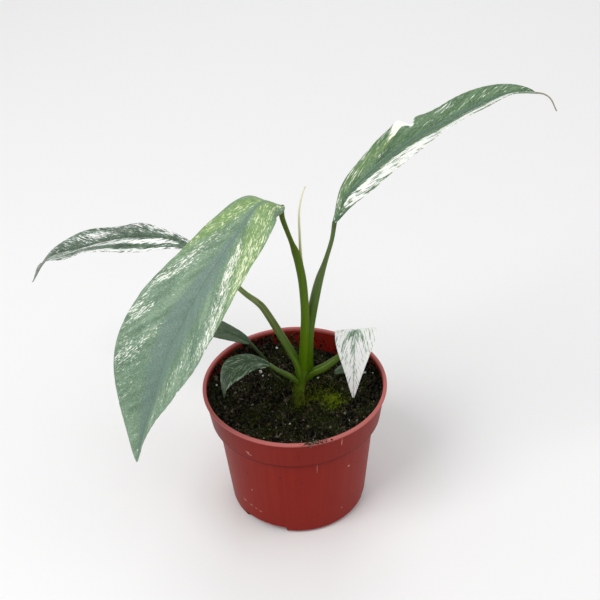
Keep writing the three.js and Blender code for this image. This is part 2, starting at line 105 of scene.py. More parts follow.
class Shader:
    def __init__(self, name, roughness=0.5, specular=0.5):
        self.material = bpy.data.materials.new(name)
        self.material.use_nodes = True
        self.tree = self.material.node_tree
        self.surface = self.tree.nodes["Principled BSDF"]
        self.surface.inputs["Roughness"].default_value = roughness
        self.surface.inputs["Specular IOR Level"].default_value = specular

    def add(self, kind, inputs=(), **settings):
        """A new node. Each input is a socket's name or number, with a value or another node's output."""
        node = self.tree.nodes.new("ShaderNode" + kind)
        for name, value in settings.items():
            setattr(node, name, value)
        for socket, value in dict(inputs).items():
            self.feed(node.inputs[socket], value)
        return node

    def feed(self, socket, value):
        if isinstance(value, bpy.types.NodeSocket):
            self.tree.links.new(value, socket)
        else:
            socket.default_value = value

    def place(self):
        return self.add("TexCoord").outputs["Object"]

    def uv(self, name):
        return self.add("UVMap", uv_map=name).outputs["UV"]

    def value(self, name):
        """A value that the mesh holds at each of its points."""
        return self.add("Attribute", attribute_name=name).outputs["Fac"]

    def split(self, vector):
        return self.add("SeparateXYZ", {0: vector}).outputs

    def join(self, x, y, z):
        return self.add("CombineXYZ", {0: x, 1: y, 2: z}).outputs[0]

    def stretch(self, vector, scale):
        return self.add("VectorMath", {0: vector, 1: scale}, operation="MULTIPLY").outputs[0]

    def spot(self, vector, middle, reach):
        """1 at the middle and 0 past the reach, both in millimetres."""
        place = [part * MM for part in middle]
        away = self.add("VectorMath", {0: vector, 1: place}, operation="SUBTRACT").outputs[0]
        share = self.stretch(away, [1 / (part * MM) for part in reach])
        length = self.add("VectorMath", {0: share}, operation="LENGTH").outputs["Value"]
        return self.step(length, 1.2, 0.5)

    def noise(self, vector, scale=1, detail=2, roughness=0.5, distortion=0):
        inputs = {"Vector": vector, "Scale": scale, "Detail": detail, "Roughness": roughness}
        return self.add("TexNoise", {**inputs, "Distortion": distortion}).outputs["Fac"]

    def cells(self, vector, scale=1):
        """Distance to the nearest of many scattered points."""
        return self.add("TexVoronoi", {"Vector": vector, "Scale": scale}).outputs["Distance"]

    def blend(self, *parts):
        """Sum of values, each times its weight."""
        total = 0.0
        for value, weight in parts:
            total = self.math("ADD", total, self.times(value, weight))
        return total

    def math(self, operation, first, second):
        return self.add("Math", {0: first, 1: second}, operation=operation).outputs[0]

    def times(self, first, second):
        return self.math("MULTIPLY", first, second)

    def step(self, value, low, high):
        """0 below low, 1 above high and smooth between them. With low above high it falls."""
        falls = float(low > high)
        inputs = {"Value": value, "From Min": min(low, high), "From Max": max(low, high)}
        ends = {"To Min": falls, "To Max": 1 - falls}
        return self.add("MapRange", {**inputs, **ends}, interpolation_type="SMOOTHSTEP").outputs["Result"]

    def mix(self, share, first, second):
        """Colours are 0 to 255, or another node's colour."""
        low, high = (c if isinstance(c, bpy.types.NodeSocket) else linear(c) for c in (first, second))
        return self.add("Mix", {0: share, 6: low, 7: high}, data_type="RGBA").outputs[2]

    def tint(self, color, share, weight, other):
        """The colour, moved towards the other one by the share times the weight."""
        return self.mix(self.times(share, weight), color, other)

    def color(self, value):
        self.feed(self.surface.inputs["Base Color"], value)

    def roughness(self, value, low, high):
        node = self.add("MapRange", {"Value": value, "To Min": low, "To Max": high})
        self.feed(self.surface.inputs["Roughness"], node.outputs["Result"])

    def bump(self, height, depth, strength=1.0):
        """depth is in millimetres."""
        node = self.add("Bump", {"Strength": strength, "Distance": depth * MM, "Height": height})
        self.feed(self.surface.inputs["Normal"], node.outputs["Normal"])

    def soften(self, weight, reach):
        """Light that enters the surface and leaves it nearby; reach is in millimetres."""
        self.surface.inputs["Subsurface Weight"].default_value = weight
        self.surface.inputs["Subsurface Scale"].default_value = reach * MM


# Meshes

def new_piece(name, points, faces, materials, face_materials=None, replaces=(), smooth=True):
    """A mesh from points in millimetres, riding on the root body."""
    mesh = bpy.data.meshes.new(name)
    mesh.from_pydata((np.asarray(points) * MM).tolist(), [], [list(face) for face in faces])
    for material in materials:
        mesh.materials.append(material)
    if face_materials is not None:
        mesh.polygons.foreach_set("material_index", np.asarray(face_materials, np.int32))
    mesh.polygons.foreach_set("use_smooth", np.full(len(mesh.polygons), smooth))
    mesh.update()
    piece = bpy.data.objects.new(name, mesh)
    bpy.context.scene.collection.objects.link(piece)
    declare(piece, replaces)
    return piece


def declare(piece, replaces):
    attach(piece, "root")
    if replaces:
        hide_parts(*replaces)


def hold_values(piece, **values):
    """Keeps one number for each point of the mesh, for the shaders."""
    for name, numbers in values.items():
        attribute = piece.data.attributes.new(name, "FLOAT", "POINT")
        attribute.data.foreach_set("value", np.asarray(numbers, np.float32))


def grid_faces(rows, columns, start=0, flip=False, closed=False):
    """Quads of a grid of points numbered row by row. closed joins the last column to the first."""
    across = columns if closed else columns - 1
    i, j = np.meshgrid(np.arange(rows - 1), np.arange(across), indexing="ij")
    k = (j + 1) % columns
    quads = np.stack([i * columns + j, i * columns + k, (i + 1) * columns + k, (i + 1) * columns + j], -1)
    quads = quads.reshape(-1, 4) + start
    return quads[:, ::-1] if flip else quads


def tube_faces(rows, sides):
    """Faces of a tube of rings. The two points after the rings shut its first and its last one."""
    count = rows * sides
    faces = grid_faces(rows, sides, closed=True).tolist()
    for k in range(sides):
        following = (k + 1) % sides
        faces.append([count, following, k])
        faces.append([count + 1, count - sides + k, count - sides + following])
    return faces


def polar(radius, angle):
    return radius * math.cos(angle), radius * math.sin(angle)


def bell(value, middle, reach):
    return np.exp(-(((value - middle) / reach) ** 2))


def spline(points, u):
    """A smooth curve through the points, at each u from 0 to 1, and its direction there."""
    points = np.asarray(points, float)
    ends = np.vstack([2 * points[0] - points[1], points, 2 * points[-1] - points[-2]])
    spans = len(points) - 1
    where = np.clip(np.asarray(u, float) * spans, 0, spans)
    span = np.minimum(where.astype(int), spans - 1)
    w = (where - span)[:, None]
    before, start, end, after = (ends[span + k] for k in range(4))
    leave = 0.5 * (end - before)
    arrive = 0.5 * (after - start)
    square = 3 * (end - start) - 2 * leave - arrive
    cube = 2 * (start - end) + leave + arrive
    place = start + leave * w + square * w ** 2 + cube * w ** 3
    direction = leave + 2 * square * w + 3 * cube * w ** 2
    return place, direction / np.maximum(np.linalg.norm(direction, axis=1), 1e-9)[:, None]


def even_spline(points, t):
    """The same curve, at each share t of its length."""
    fine = np.linspace(0, 1, 400)
    place = spline(points, fine)[0]
    length = np.r_[0, np.cumsum(np.linalg.norm(np.diff(place, axis=0), axis=1))]
    return (*spline(points, np.interp(t, length / length[-1], fine)), length[-1])


def growth_frame(direction, heading):
    """Unit vectors to the right of the direction of growth and up from it."""
    angle = math.radians(heading)
    level = np.array([math.sin(angle), -math.cos(angle), 0])
    right = level - (direction @ level)[:, None] * direction
    right /= np.linalg.norm(right, axis=1)[:, None]
    return right, np.cross(right, direction)


def rumple(points, scale, seed):
    """Smooth noise from -1 to 1 at each point."""
    shift = Vector((17.3 * seed, 5.1 * seed, -9.7 * seed))
    return np.array([noise.noise(Vector(p) * scale + shift) for p in points])


# Leaves. The values that give a blade and its stalk their place and shape are the part's own.
# lift and each of nicks: side, t, reach, and how far the margin rises or is cut in.
# white, solid and yellow list the coloured patches: t, side, reach along, reach across, strength.
# Solid ones come on top of white, which stays under white_cap. vein_slope is how far a side vein
# runs along the blade for each step across it. band lists the plain band along the midrib: t,
# middle, reach. A leaf takes from PLAIN_LEAF what it doesn't give itself.

BLADE = {"thickness": 0.55, "edge": 0.3, "base_half": 1.6, "tip_half": 0.5, "keel_width": 1.1}
VEIN_CURVE = 0.3
UV_UNIT = 10
UV_SLOPE = 1.6
HALF_SHIFT = 31.7
LARGE_HALF_WIDTH = 15
LARGE_GRID = (221, 44)
SMALL_GRID = (121, 26)
THREAD_COLOR = (158, 146, 134)

PLAIN_LEAF = {
    "lift": (1, 0, 1, 0), "nicks": [], "thread": 0, "vein_slope": 1.25, "white_cap": 0.7,
    "fineness": 1, "fleck_shortness": 1, "white": [], "solid": [], "yellow": [], "band": [],
}

LEAVES = {
    "right_leaf": {
        "heading": 14,
        "midrib": [
            (27.7, 8.9, 209.5), (39.7, 11.9, 231), (70.1, 19.8, 254.1), (99.2, 26.6, 266),
            (127.9, 33.7, 276.5), (147.5, 38.6, 275.1), (157, 41.1, 270.8), (162.8, 42.6, 260.5),
        ],
        "half_width": 19.2, "widest": 0.49, "roundness": (1.07, 0.63), "fold": (-3, 15.5, 31),
        "sag": 0.05, "roll": (-18, 9.5, 3), "wave": (0.9, 3.5, 0.8), "lift": (-1, 0.395, 0.02, 2.2),
        "nicks": [(-1, 0.432, 0.016, 0.33)], "thread": 0.13, "slot": "leaf_blade", "look": "green",
        "vein_slope": 2.0, "base_level": 0.2, "white_cap": 0.74,
        "white": [
            (0.06, 0.6, 0.05, 0.5, 0.3), (0.1, -0.35, 0.06, 0.45, 0.22), (0.15, 0.5, 0.06, 0.3, 0.5),
            (0.15, 0.88, 0.06, 0.2, 0.35), (0.24, 0.55, 0.07, 0.3, 0.6), (0.3, 0.82, 0.08, 0.25, 0.55),
            (0.34, 0.5, 0.05, 0.2, 0.36), (0.4, 0.85, 0.07, 0.25, 0.55), (0.4, 0.52, 0.05, 0.16, 0.4),
            (0.47, 0.82, 0.06, 0.24, 0.5), (0.53, 0.85, 0.06, 0.24, 0.5), (0.59, 0.7, 0.05, 0.22, 0.45),
            (0.62, 0.15, 0.04, 0.12, 0.42), (0.67, 0.1, 0.04, 0.12, 0.38), (0.73, 0.6, 0.05, 0.2, 0.42),
            (0.8, 0.7, 0.04, 0.2, 0.25), (0.32, 0.75, 0.26, 0.3, 0.16), (0.66, 0.72, 0.05, 0.25, 0.42),
            (0.74, 0.85, 0.04, 0.2, 0.4), (0.83, 0.8, 0.04, 0.25, 0.36), (0.19, -0.88, 0.12, 0.16, 0.12),
            (0.3, -0.9, 0.08, 0.14, 0.1), (0.6, -0.72, 0.03, 0.2, 0.3), (0.68, -0.6, 0.03, 0.2, 0.28),
            (0.55, -0.8, 0.02, 0.15, 0.25),
        ],
        "solid": [(0.385, -0.74, 0.018, 0.16, 1.2), (0.4, -0.93, 0.024, 0.14, 1.3)],
        "yellow": [
            (0.22, -0.6, 0.05, 0.3, 0.6), (0.32, -0.55, 0.03, 0.2, 0.8), (0.14, -0.75, 0.06, 0.3, 0.4),
        ],
        "band": [(0, 0, 0.1), (0.12, 0.04, 0.14), (0.45, 0.05, 0.17), (0.6, -0.1, 0.12), (1, 0, 0.06)],
    },
    "front_leaf": {
        "heading": 213,
        "midrib": [
            (-1.8, -0.8, 228.6), (-15.4, -9.6, 236), (-32.3, -20.6, 218.6), (-52, -33.4, 193.3),
            (-71.8, -46.2, 160), (-86.7, -55.9, 122.6), (-97.7, -63, 87.3),
        ],
        "half_width": 33.45, "widest": 0.48, "roundness": (0.73, 0.8), "fold": (-27, 21, 34), "sag": 0,
        "roll": (-2, 8, 4), "wave": (5.5, 1.6, 6.1),
        "nicks": [(-1, 0.67, 0.006, 0.05), (-1, 0.52, 0.006, 0.05)], "slot": "leaf_blade", "look": "sage",
        "base_level": 0.16, "white_cap": 0.52, "fleck_shortness": 1.7,
        "white": [
            (0.28, -0.4, 0.04, 0.16, 0.42), (0.28, -0.82, 0.05, 0.22, 0.3),
            (0.36, -0.62, 0.05, 0.26, 0.42), (0.26, -0.32, 0.03, 0.1, 0.34),
            (0.42, -0.7, 0.04, 0.2, 0.34), (0.42, -0.2, 0.04, 0.08, 0.2), (0.5, -0.9, 0.1, 0.16, 0.28),
            (0.56, -0.6, 0.05, 0.2, 0.2), (0.66, -0.6, 0.06, 0.2, 0.18), (0.38, 0.62, 0.03, 0.2, 0.34),
            (0.42, 0.84, 0.04, 0.16, 0.3), (0.3, 0.55, 0.04, 0.25, 0.26), (0.55, 0.8, 0.018, 0.12, 0.62),
            (0.54, 0.92, 0.03, 0.1, 0.3), (0.6, 0.5, 0.03, 0.35, 0.3), (0.58, 0.15, 0.02, 0.12, 0.3),
            (0.66, 0.85, 0.05, 0.15, 0.24), (0.2, 0.6, 0.08, 0.35, 0.12), (0.1, -0.7, 0.08, 0.4, 0.14),
            (0.2, -0.6, 0.08, 0.35, 0.1), (0.8, -0.7, 0.08, 0.2, 0.16), (0.93, 0.1, 0.04, 0.4, 0.24),
            (0.7, 0.6, 0.06, 0.3, 0.1), (0.5, 0.9, 0.3, 0.06, 0.08),
        ],
        "yellow": [
            (0.12, 0.65, 0.12, 0.4, 0.8), (0.26, 0.85, 0.08, 0.3, 0.6), (0.14, -0.55, 0.14, 0.6, 1.2),
            (0.24, -0.75, 0.08, 0.4, 0.7), (0.02, 0, 0.04, 1, 0.8),
        ],
        "band": [
            (0, 0, 0.07), (0.22, 0, 0.08), (0.36, -0.05, 0.24), (0.55, 0, 0.4), (0.8, 0, 0.32),
            (1, 0, 0.12),
        ],
    },
    "left_leaf": {
        "heading": 150,
        "midrib": [
            (-53.7, 36.3, 173), (-76.5, 49.5, 175.8), (-104.7, 65.8, 167.7), (-134.7, 83, 151),
            (-169, 103, 129.4), (-187, 112.96, 102),
        ],
        "half_width": 19.95, "widest": 0.53, "roundness": (1.13, 1.19), "fold": (-28.5, 12, 13),
        "sag": 0.05, "roll": (19.5, -1.5, 15), "wave": (1.2, 3, 0.9), "slot": "leaf_blade",
        "look": "dusky", "vein_slope": 2.0, "base_level": 0.36, "white_cap": 0.74,
        "white": [
            (0.2, -0.36, 0.12, 0.13, 0.62), (0.36, -0.34, 0.1, 0.14, 0.55), (0.5, -0.2, 0.08, 0.18, 0.3),
            (0.3, -0.95, 0.3, 0.1, 0.7), (0.2, 0.85, 0.15, 0.25, 0.3), (0.55, 0.5, 0.08, 0.25, 0.25),
            (0.7, -0.6, 0.14, 0.4, 0.12), (0.8, 0.5, 0.1, 0.4, 0.06), (0.3, -0.66, 0.12, 0.1, -0.34),
            (0.45, -0.62, 0.12, 0.12, -0.28), (0.3, 0.15, 0.2, 0.12, -0.4), (0.78, 0, 0.14, 1, -0.16),
        ],
        "band": [(0, 0, 0.06), (0.5, 0, 0.07), (1, 0, 0.05)],
    },
    "small_white_leaf": {
        "heading": -90,
        "midrib": [
            (37, 11.5, 113), (38.5, 8, 125), (39.9, 2, 132.3), (38.8, -4.5, 125.7), (38, -9.5, 108),
            (37.4, -14, 90),
        ],
        "half_width": 13.2, "widest": 0.33, "roundness": (2.3, 1), "fold": (3.5, 3.5, 3.5), "sag": 0.04,
        "roll": (-1.5, -1.5, -1.5), "wave": (0.5, 2, 0.3), "slot": "white_leaf_blade", "look": "white",
        "vein_slope": 3.5, "base_level": 0.8, "white_cap": 0.8, "fineness": 1.6,
        "white": [
            (0.37, 0.08, 0.07, 0.4, -0.26), (0.47, 0.06, 0.07, 0.25, -0.22),
            (0.56, 0.1, 0.06, 0.2, -0.12), (0.72, 0, 0.25, 0.06, -0.3), (0.33, -0.6, 0.05, 0.3, -0.12),
            (0.33, 0.7, 0.05, 0.3, -0.12), (0.28, 0, 0.05, 1, -0.2), (0.96, 0, 0.012, 0.6, -0.9),
            (0.5, 1, 0.4, 0.18, 0.2), (0.5, -1, 0.4, 0.18, 0.2),
        ],
    },
    "small_left_leaf": {
        "heading": 195,
        "midrib": [
            (-15.9, -4.2, 112.6), (-27.5, -7.2, 117.5), (-39.5, -10.6, 114), (-45.4, -12.2, 105),
            (-45.6, -12.6, 93),
        ],
        "half_width": 10.5, "widest": 0.5, "roundness": (0.7, 0.9), "fold": (6, 6, 6), "sag": 0.15,
        "roll": (0, 4, 0), "wave": (0.4, 2, 0), "slot": "dark_leaf_blade", "look": "deep",
        "vein_slope": 1.6, "base_level": 0.28, "fineness": 1.4,
        "white": [(0.45, 0, 0.3, 0.5, 0.08), (0.6, -0.95, 0.4, 0.12, 0.4), (0.3, 0.1, 0.2, 0.1, -0.3)],
    },
    "dark_back_leaf": {
        "heading": 165,
        "midrib": [
            (-28.5, 23.4, 108.8), (-38, 26, 113), (-51, 29.5, 117), (-66, 33.4, 118), (-80, 37, 112),
        ],
        "half_width": 8.8, "widest": 0.45, "roundness": (0.8, 1), "fold": (8, 8, 8), "sag": 0.1,
        "roll": (0, 0, 0), "wave": (0.4, 2, 0.5), "slot": "dark_leaf_blade", "look": "shade",
        "base_level": 0.1,
    },
    "tiny_leaf": {
        "heading": 8, "midrib": [(26.9, 14.4, 88.2), (33, 15.4, 91), (39, 16.2, 94), (44, 17, 94.5)],
        "half_width": 4.6, "widest": 0.45, "roundness": (0.7, 0.9), "fold": (4, 4, 4), "sag": 0.1,
        "roll": (0, 0, 0), "wave": (0.2, 1, 0), "slot": "dark_leaf_blade", "look": "grey",
        "base_level": 0.14,
    },
}

# Colours of a blade, in the order of LOOK_PARTS. Only a leaf with yellow patches has the last two.
LOOK_PARTS = ("dark", "light", "band", "pale", "white", "under", "yellow", "bright")
LOOKS = {
    "sage": [
        (92, 120, 98), (140, 166, 140), (110, 132, 127), (182, 203, 174),
        (244, 247, 236), (150, 172, 142), (128, 162, 76), (230, 240, 196),
    ],
    "green": [
        (62, 90, 62), (106, 138, 98), (92, 118, 104), (166, 190, 162),
        (248, 249, 244), (150, 172, 142), (138, 168, 88), (240, 246, 196),
    ],
    "dusky": [
        (46, 66, 48), (100, 124, 102), (64, 88, 66),
        (176, 192, 176), (248, 249, 246), (154, 170, 152),
    ],
    "white": [
        (86, 118, 90), (134, 162, 138), (150, 170, 155),
        (206, 220, 206), (250, 250, 248), (214, 222, 204),
    ],
    "deep": [(50, 70, 48), (88, 110, 82), (60, 84, 56), (118, 140, 112), (176, 192, 170), (110, 132, 98)],
    "shade": [(60, 76, 56), (84, 102, 78), (66, 84, 62), (106, 126, 100), (160, 176, 158), (86, 102, 76)],
    "grey": [
        (78, 96, 74), (106, 126, 102), (96, 116, 92),
        (128, 146, 122), (170, 184, 166), (104, 122, 96),
    ],
}


def keyed(values, t):
    return np.interp(t, (0, 0.5, 1), values)


def blade_outline(leaf, t):
    """Half width at t, as a share of the widest, and the blade's half width in millimetres."""
    along = np.minimum(t / (1 - leaf["thread"]), 1)
    shifted = along ** (math.log(0.5) / math.log(leaf["widest"]))
    exponent = leaf["roundness"][0] + (leaf["roundness"][1] - leaf["roundness"][0]) * along
    shape = np.maximum(np.sin(math.pi * shifted), 0) ** exponent
    narrow = BLADE["base_half"] + (BLADE["tip_half"] - BLADE["base_half"]) * t
    return shape, narrow


def on_one_side(t, side, which, at, reach, height):
    """A smooth bump along t, only on the side where which is 1 or -1."""
    return height * bell(t, at, reach)[:, None] * (np.sign(side) == which)


def blade_surface(leaf, t, side):
    """The middle of the blade at each row t and column side, and the distances in millimetres on it."""
    place, direction, length = even_spline(leaf["midrib"], t)
    right, up = growth_frame(direction, leaf["heading"])
    roll = np.radians(keyed(leaf["roll"], t))[:, None]
    fold = np.radians(keyed(leaf["fold"], t))[:, None]
    across = right * np.cos(roll) + up * np.sin(roll)
    above = up * np.cos(roll) - right * np.sin(roll)
    shape, narrow = (row[:, None] for row in blade_outline(leaf, t))
    kept = np.ones((len(t), len(side)))
    for nick in leaf["nicks"]:
        kept = kept - on_one_side(t, side, *nick)
    half = narrow + (leaf["half_width"] - narrow) * shape * kept
    height, count, phase = leaf["wave"]
    ripple = height * np.sin(2 * math.pi * count * t[:, None] + phase + side[None, :])
    raised = on_one_side(t, side, *leaf["lift"])
    rise = np.abs(side) * half * np.sin(fold)
    rise = rise + side ** 2 * shape * (ripple + raised - leaf["sag"] * leaf["half_width"])
    outward = side * half * np.cos(fold)
    points = place[:, None] + across[:, None] * outward[..., None] + above[:, None] * rise[..., None]
    return points, t[:, None] * length + 0 * side, side * half, shape + 0 * side


def midrib_band(leaf, t, side):
    """1 on the plain band along the midrib and 0 away from it."""
    if not leaf["band"]:
        return np.zeros((len(t), len(side)))
    at, middle, reach = np.array(leaf["band"]).T
    return bell(side[None, :], np.interp(t, at, middle)[:, None], np.interp(t, at, reach)[:, None])


def patches(spots, t, side, leaf):
    """Sum of soft spots that run out along the side veins."""
    reach = leaf["half_width"] / 150 * leaf["vein_slope"]
    total = np.zeros((len(t), len(side)))
    vein = t[:, None] - reach * np.abs(side)
    for at, across, along_reach, across_reach, strength in spots:
        from_vein = (vein - (at - reach * abs(across))) / along_reach
        from_side = (side - across)[None, :] / across_reach
        total += strength * np.exp(-from_vein ** 2 - from_side ** 2)
    return total


def blade_relief(leaf, along, across, shape, grid):
    """How far the upper face stands out from a smooth sheet, in millimetres."""
    wide = leaf["half_width"]
    vein = along - leaf["vein_slope"] * np.abs(across) - VEIN_CURVE * across ** 2 / wide
    spacing = 0.22 * wide + 2
    quilt = 0.004 * wide * np.cos(2 * math.pi * vein / spacing)
    fine = 0.02 * np.cos(2 * math.pi * vein / (spacing / 4))
    furrow = -0.7 * np.exp(-((across / (0.035 * wide + 0.35)) ** 2)) * (1 - along / along.max()) ** 0.6
    rumpled = rumple(grid.reshape(-1, 3), 0.06, wide).reshape(vein.shape) * 0.022 * wide
    return (quilt + fine + rumpled) * np.minimum(shape, 1) + furrow, vein


def blade_faces(rows, columns):
    """Faces of the upper side, of the under side, and of the rim between them."""
    count = rows * columns
    rim = [i * columns for i in range(rows)]
    rim += [(rows - 1) * columns + j for j in range(1, columns)]
    rim += [i * columns + columns - 1 for i in range(rows - 2, -1, -1)]
    rim += list(range(columns - 2, 0, -1))
    rim = np.array(rim)
    following = np.roll(rim, -1)
    return [
        grid_faces(rows, columns),
        grid_faces(rows, columns, start=count, flip=True),
        np.stack([rim, following, following + count, rim + count], -1),
    ]


def blade_values(leaf, t, side):
    """What the shaders read at each point of both faces."""
    band = midrib_band(leaf, t, side)
    white = leaf["base_level"] + patches(leaf["white"], t, side, leaf) - 0.3 * band
    white = np.clip(white, -0.3, leaf["white_cap"]) + patches(leaf["solid"], t, side, leaf)
    yellow = np.clip(patches(leaf["yellow"], t, side, leaf), 0, 1)
    values = {"white": white, "yellow": yellow, "band": band, "along": t[:, None] + 0 * side}
    return {name: np.tile(grid.ravel(), 2) for name, grid in values.items()}


def map_veins(piece, leaf, vein, across, faces):
    """A map that runs along the side veins. Each half of the blade has its own part of the noise."""
    narrowing = math.hypot(1, leaf["vein_slope"]) / UV_SLOPE
    unit = UV_UNIT / leaf["fineness"]
    shift = np.where(across < 0, HALF_SHIFT, 0)
    flat = np.stack([vein / unit / narrowing + shift, np.abs(across) / unit], -1).reshape(-1, 2)
    layer = piece.data.uv_layers.new(name="vein")
    layer.data.foreach_set("uv", flat[faces.ravel() % len(flat)].astype(np.float32).ravel())


def leaf_blade(name, leaf, rows, columns):
    """One closed blade: an upper and a lower face with a thin rounded edge."""
    t = np.linspace(0, 1, rows)
    side = np.linspace(-1, 1, 2 * columns + 1)
    middle, along, across, shape = blade_surface(leaf, t, side)
    normal = np.cross(np.gradient(middle, axis=1), np.gradient(middle, axis=0))
    normal /= np.maximum(np.linalg.norm(normal, axis=2), 1e-9)[..., None]
    relief, vein = blade_relief(leaf, along, across, shape, middle)
    body = BLADE["thickness"] + (BLADE["edge"] - BLADE["thickness"]) * side ** 4
    keel = (1 - t[:, None]) * bell(across, 0, BLADE["keel_width"])
    upper = middle + normal * (relief + body / 2)[..., None]
    lower = middle + normal * (relief - body / 2 - keel)[..., None]
    points = np.concatenate([upper.reshape(-1, 3), lower.reshape(-1, 3)])
    parts = blade_faces(rows, len(side))
    faces = np.concatenate(parts)
    under = np.repeat([0, 1, 0], [len(part) for part in parts])
    materials = [leaf_material(name, leaf), leaf_material(name + "_under", leaf, under=True)]
    piece = new_piece("fine_" + name, points, faces, materials, under, (name,))
    hold_values(piece, **blade_values(leaf, t, side))
    map_veins(piece, leaf, vein, across, faces)


def make_leaves():
    for name, values in LEAVES.items():
        leaf = {**PLAIN_LEAF, **values}
        rows, columns = LARGE_GRID if leaf["half_width"] > LARGE_HALF_WIDTH else SMALL_GRID
        leaf_blade(name + "_blade", leaf, rows, columns)


def leaf_noises(shader, vein, short):
    """Noises on the vein map. A higher short gives shorter flecks."""
    scales = {
        "cloud": (0.7, 0.5, 1), "broad": (1.8, 1.2, 1), "streak": (6.5, 3 * short, 1),
        "fine": (13, 7 * short, 1), "grain": (24, 15, 1),
    }
    kinds = {
        "cloud": {"detail": 3}, "broad": {"detail": 2}, "streak": {"detail": 2, "distortion": 0.4},
        "fine": {"detail": 2, "roughness": 0.55, "distortion": 0.4}, "grain": {"detail": 1},
    }
    return {name: shader.noise(shader.stretch(vein, scales[name]), **kinds[name]) for name in scales}


def green_color(shader, look, leaf, noises):
    """Green of the blade, its yellow patches, and the plain band along the midrib."""
    tone = shader.blend((noises["cloud"], 0.3), (noises["broad"], 0.25), (noises["fine"], 0.45))
    color = shader.mix(shader.step(tone, 0.4, 0.6), look["dark"], look["light"])
    if leaf["yellow"]:
        uneven = shader.step(noises["streak"], 0.2, 0.6)
        color = shader.tint(color, shader.value("yellow"), uneven, look["yellow"])
    ragged = shader.blend((shader.value("band"), 1), (noises["broad"], 0.7), (noises["streak"], 0.5))
    return shader.tint(color, shader.step(ragged, 0.9, 1.2), 0.75, look["band"])


def fleck_color(shader, color, look, leaf, noises):
    """Fine grain, then pale and white flecks, which spread where the mesh holds more white."""
    color = shader.tint(color, shader.step(noises["grain"], 0.54, 0.66), 0.35, look["pale"])
    color = shader.tint(color, shader.step(noises["grain"], 0.46, 0.34), 0.4, look["dark"])
    streaks = shader.blend((noises["streak"], 0.55), (noises["fine"], 0.35), (noises["broad"], 0.2))
    level = shader.blend((shader.value("white"), 0.34), (shader.value("yellow"), 0.045))
    amount = shader.math("ADD", streaks, level)
    bright = look["white"]
    if leaf["yellow"]:
        bright = shader.mix(shader.value("yellow"), bright, look["bright"])
    color = shader.tint(color, shader.step(amount, 0.67, 0.74), 0.45, look["pale"])
    return shader.mix(shader.step(amount, 0.735, 0.77), color, bright)


def leaf_material(name, leaf, under=False):
    look = dict(zip(LOOK_PARTS, LOOKS[leaf["look"]]))
    dark_leaf = leaf["slot"] == "dark_leaf_blade"
    shader = Shader(name, roughness=0.55 if under else 0.45, specular=0.12 if dark_leaf else 0.25)
    vein = shader.uv("vein")
    noises = leaf_noises(shader, vein, leaf["fleck_shortness"])
    color = green_color(shader, look, leaf, noises)
    color = fleck_color(shader, color, look, leaf, noises)
    midrib = shader.step(shader.split(vein)[1], 0.055, 0.02)
    color = shader.tint(color, midrib, 0.4, look["dark"])
    if leaf["thread"]:
        color = shader.mix(shader.step(shader.value("along"), 0.86, 0.89), color, THREAD_COLOR)
    if under:
        color = shader.mix(0.35, color, look["under"])
    shader.color(color)
    shader.bump(shader.math("ADD", noises["streak"], noises["grain"]), 0.08, 0.4)
    shader.soften(0.1, 1.0)
    return shader.material


# Stalks, stem and the rolled new leaf: swept ovals with a groove on the upper side. sizes are half
# widths and half heights. sheath is how far along the sheath ends, and free_from where its edges
# start. A stalk takes from PLAIN_STALK what it doesn't give itself.

PLAIN_STALK = {"groove": 0.35, "sheath": 0, "free_from": 0}

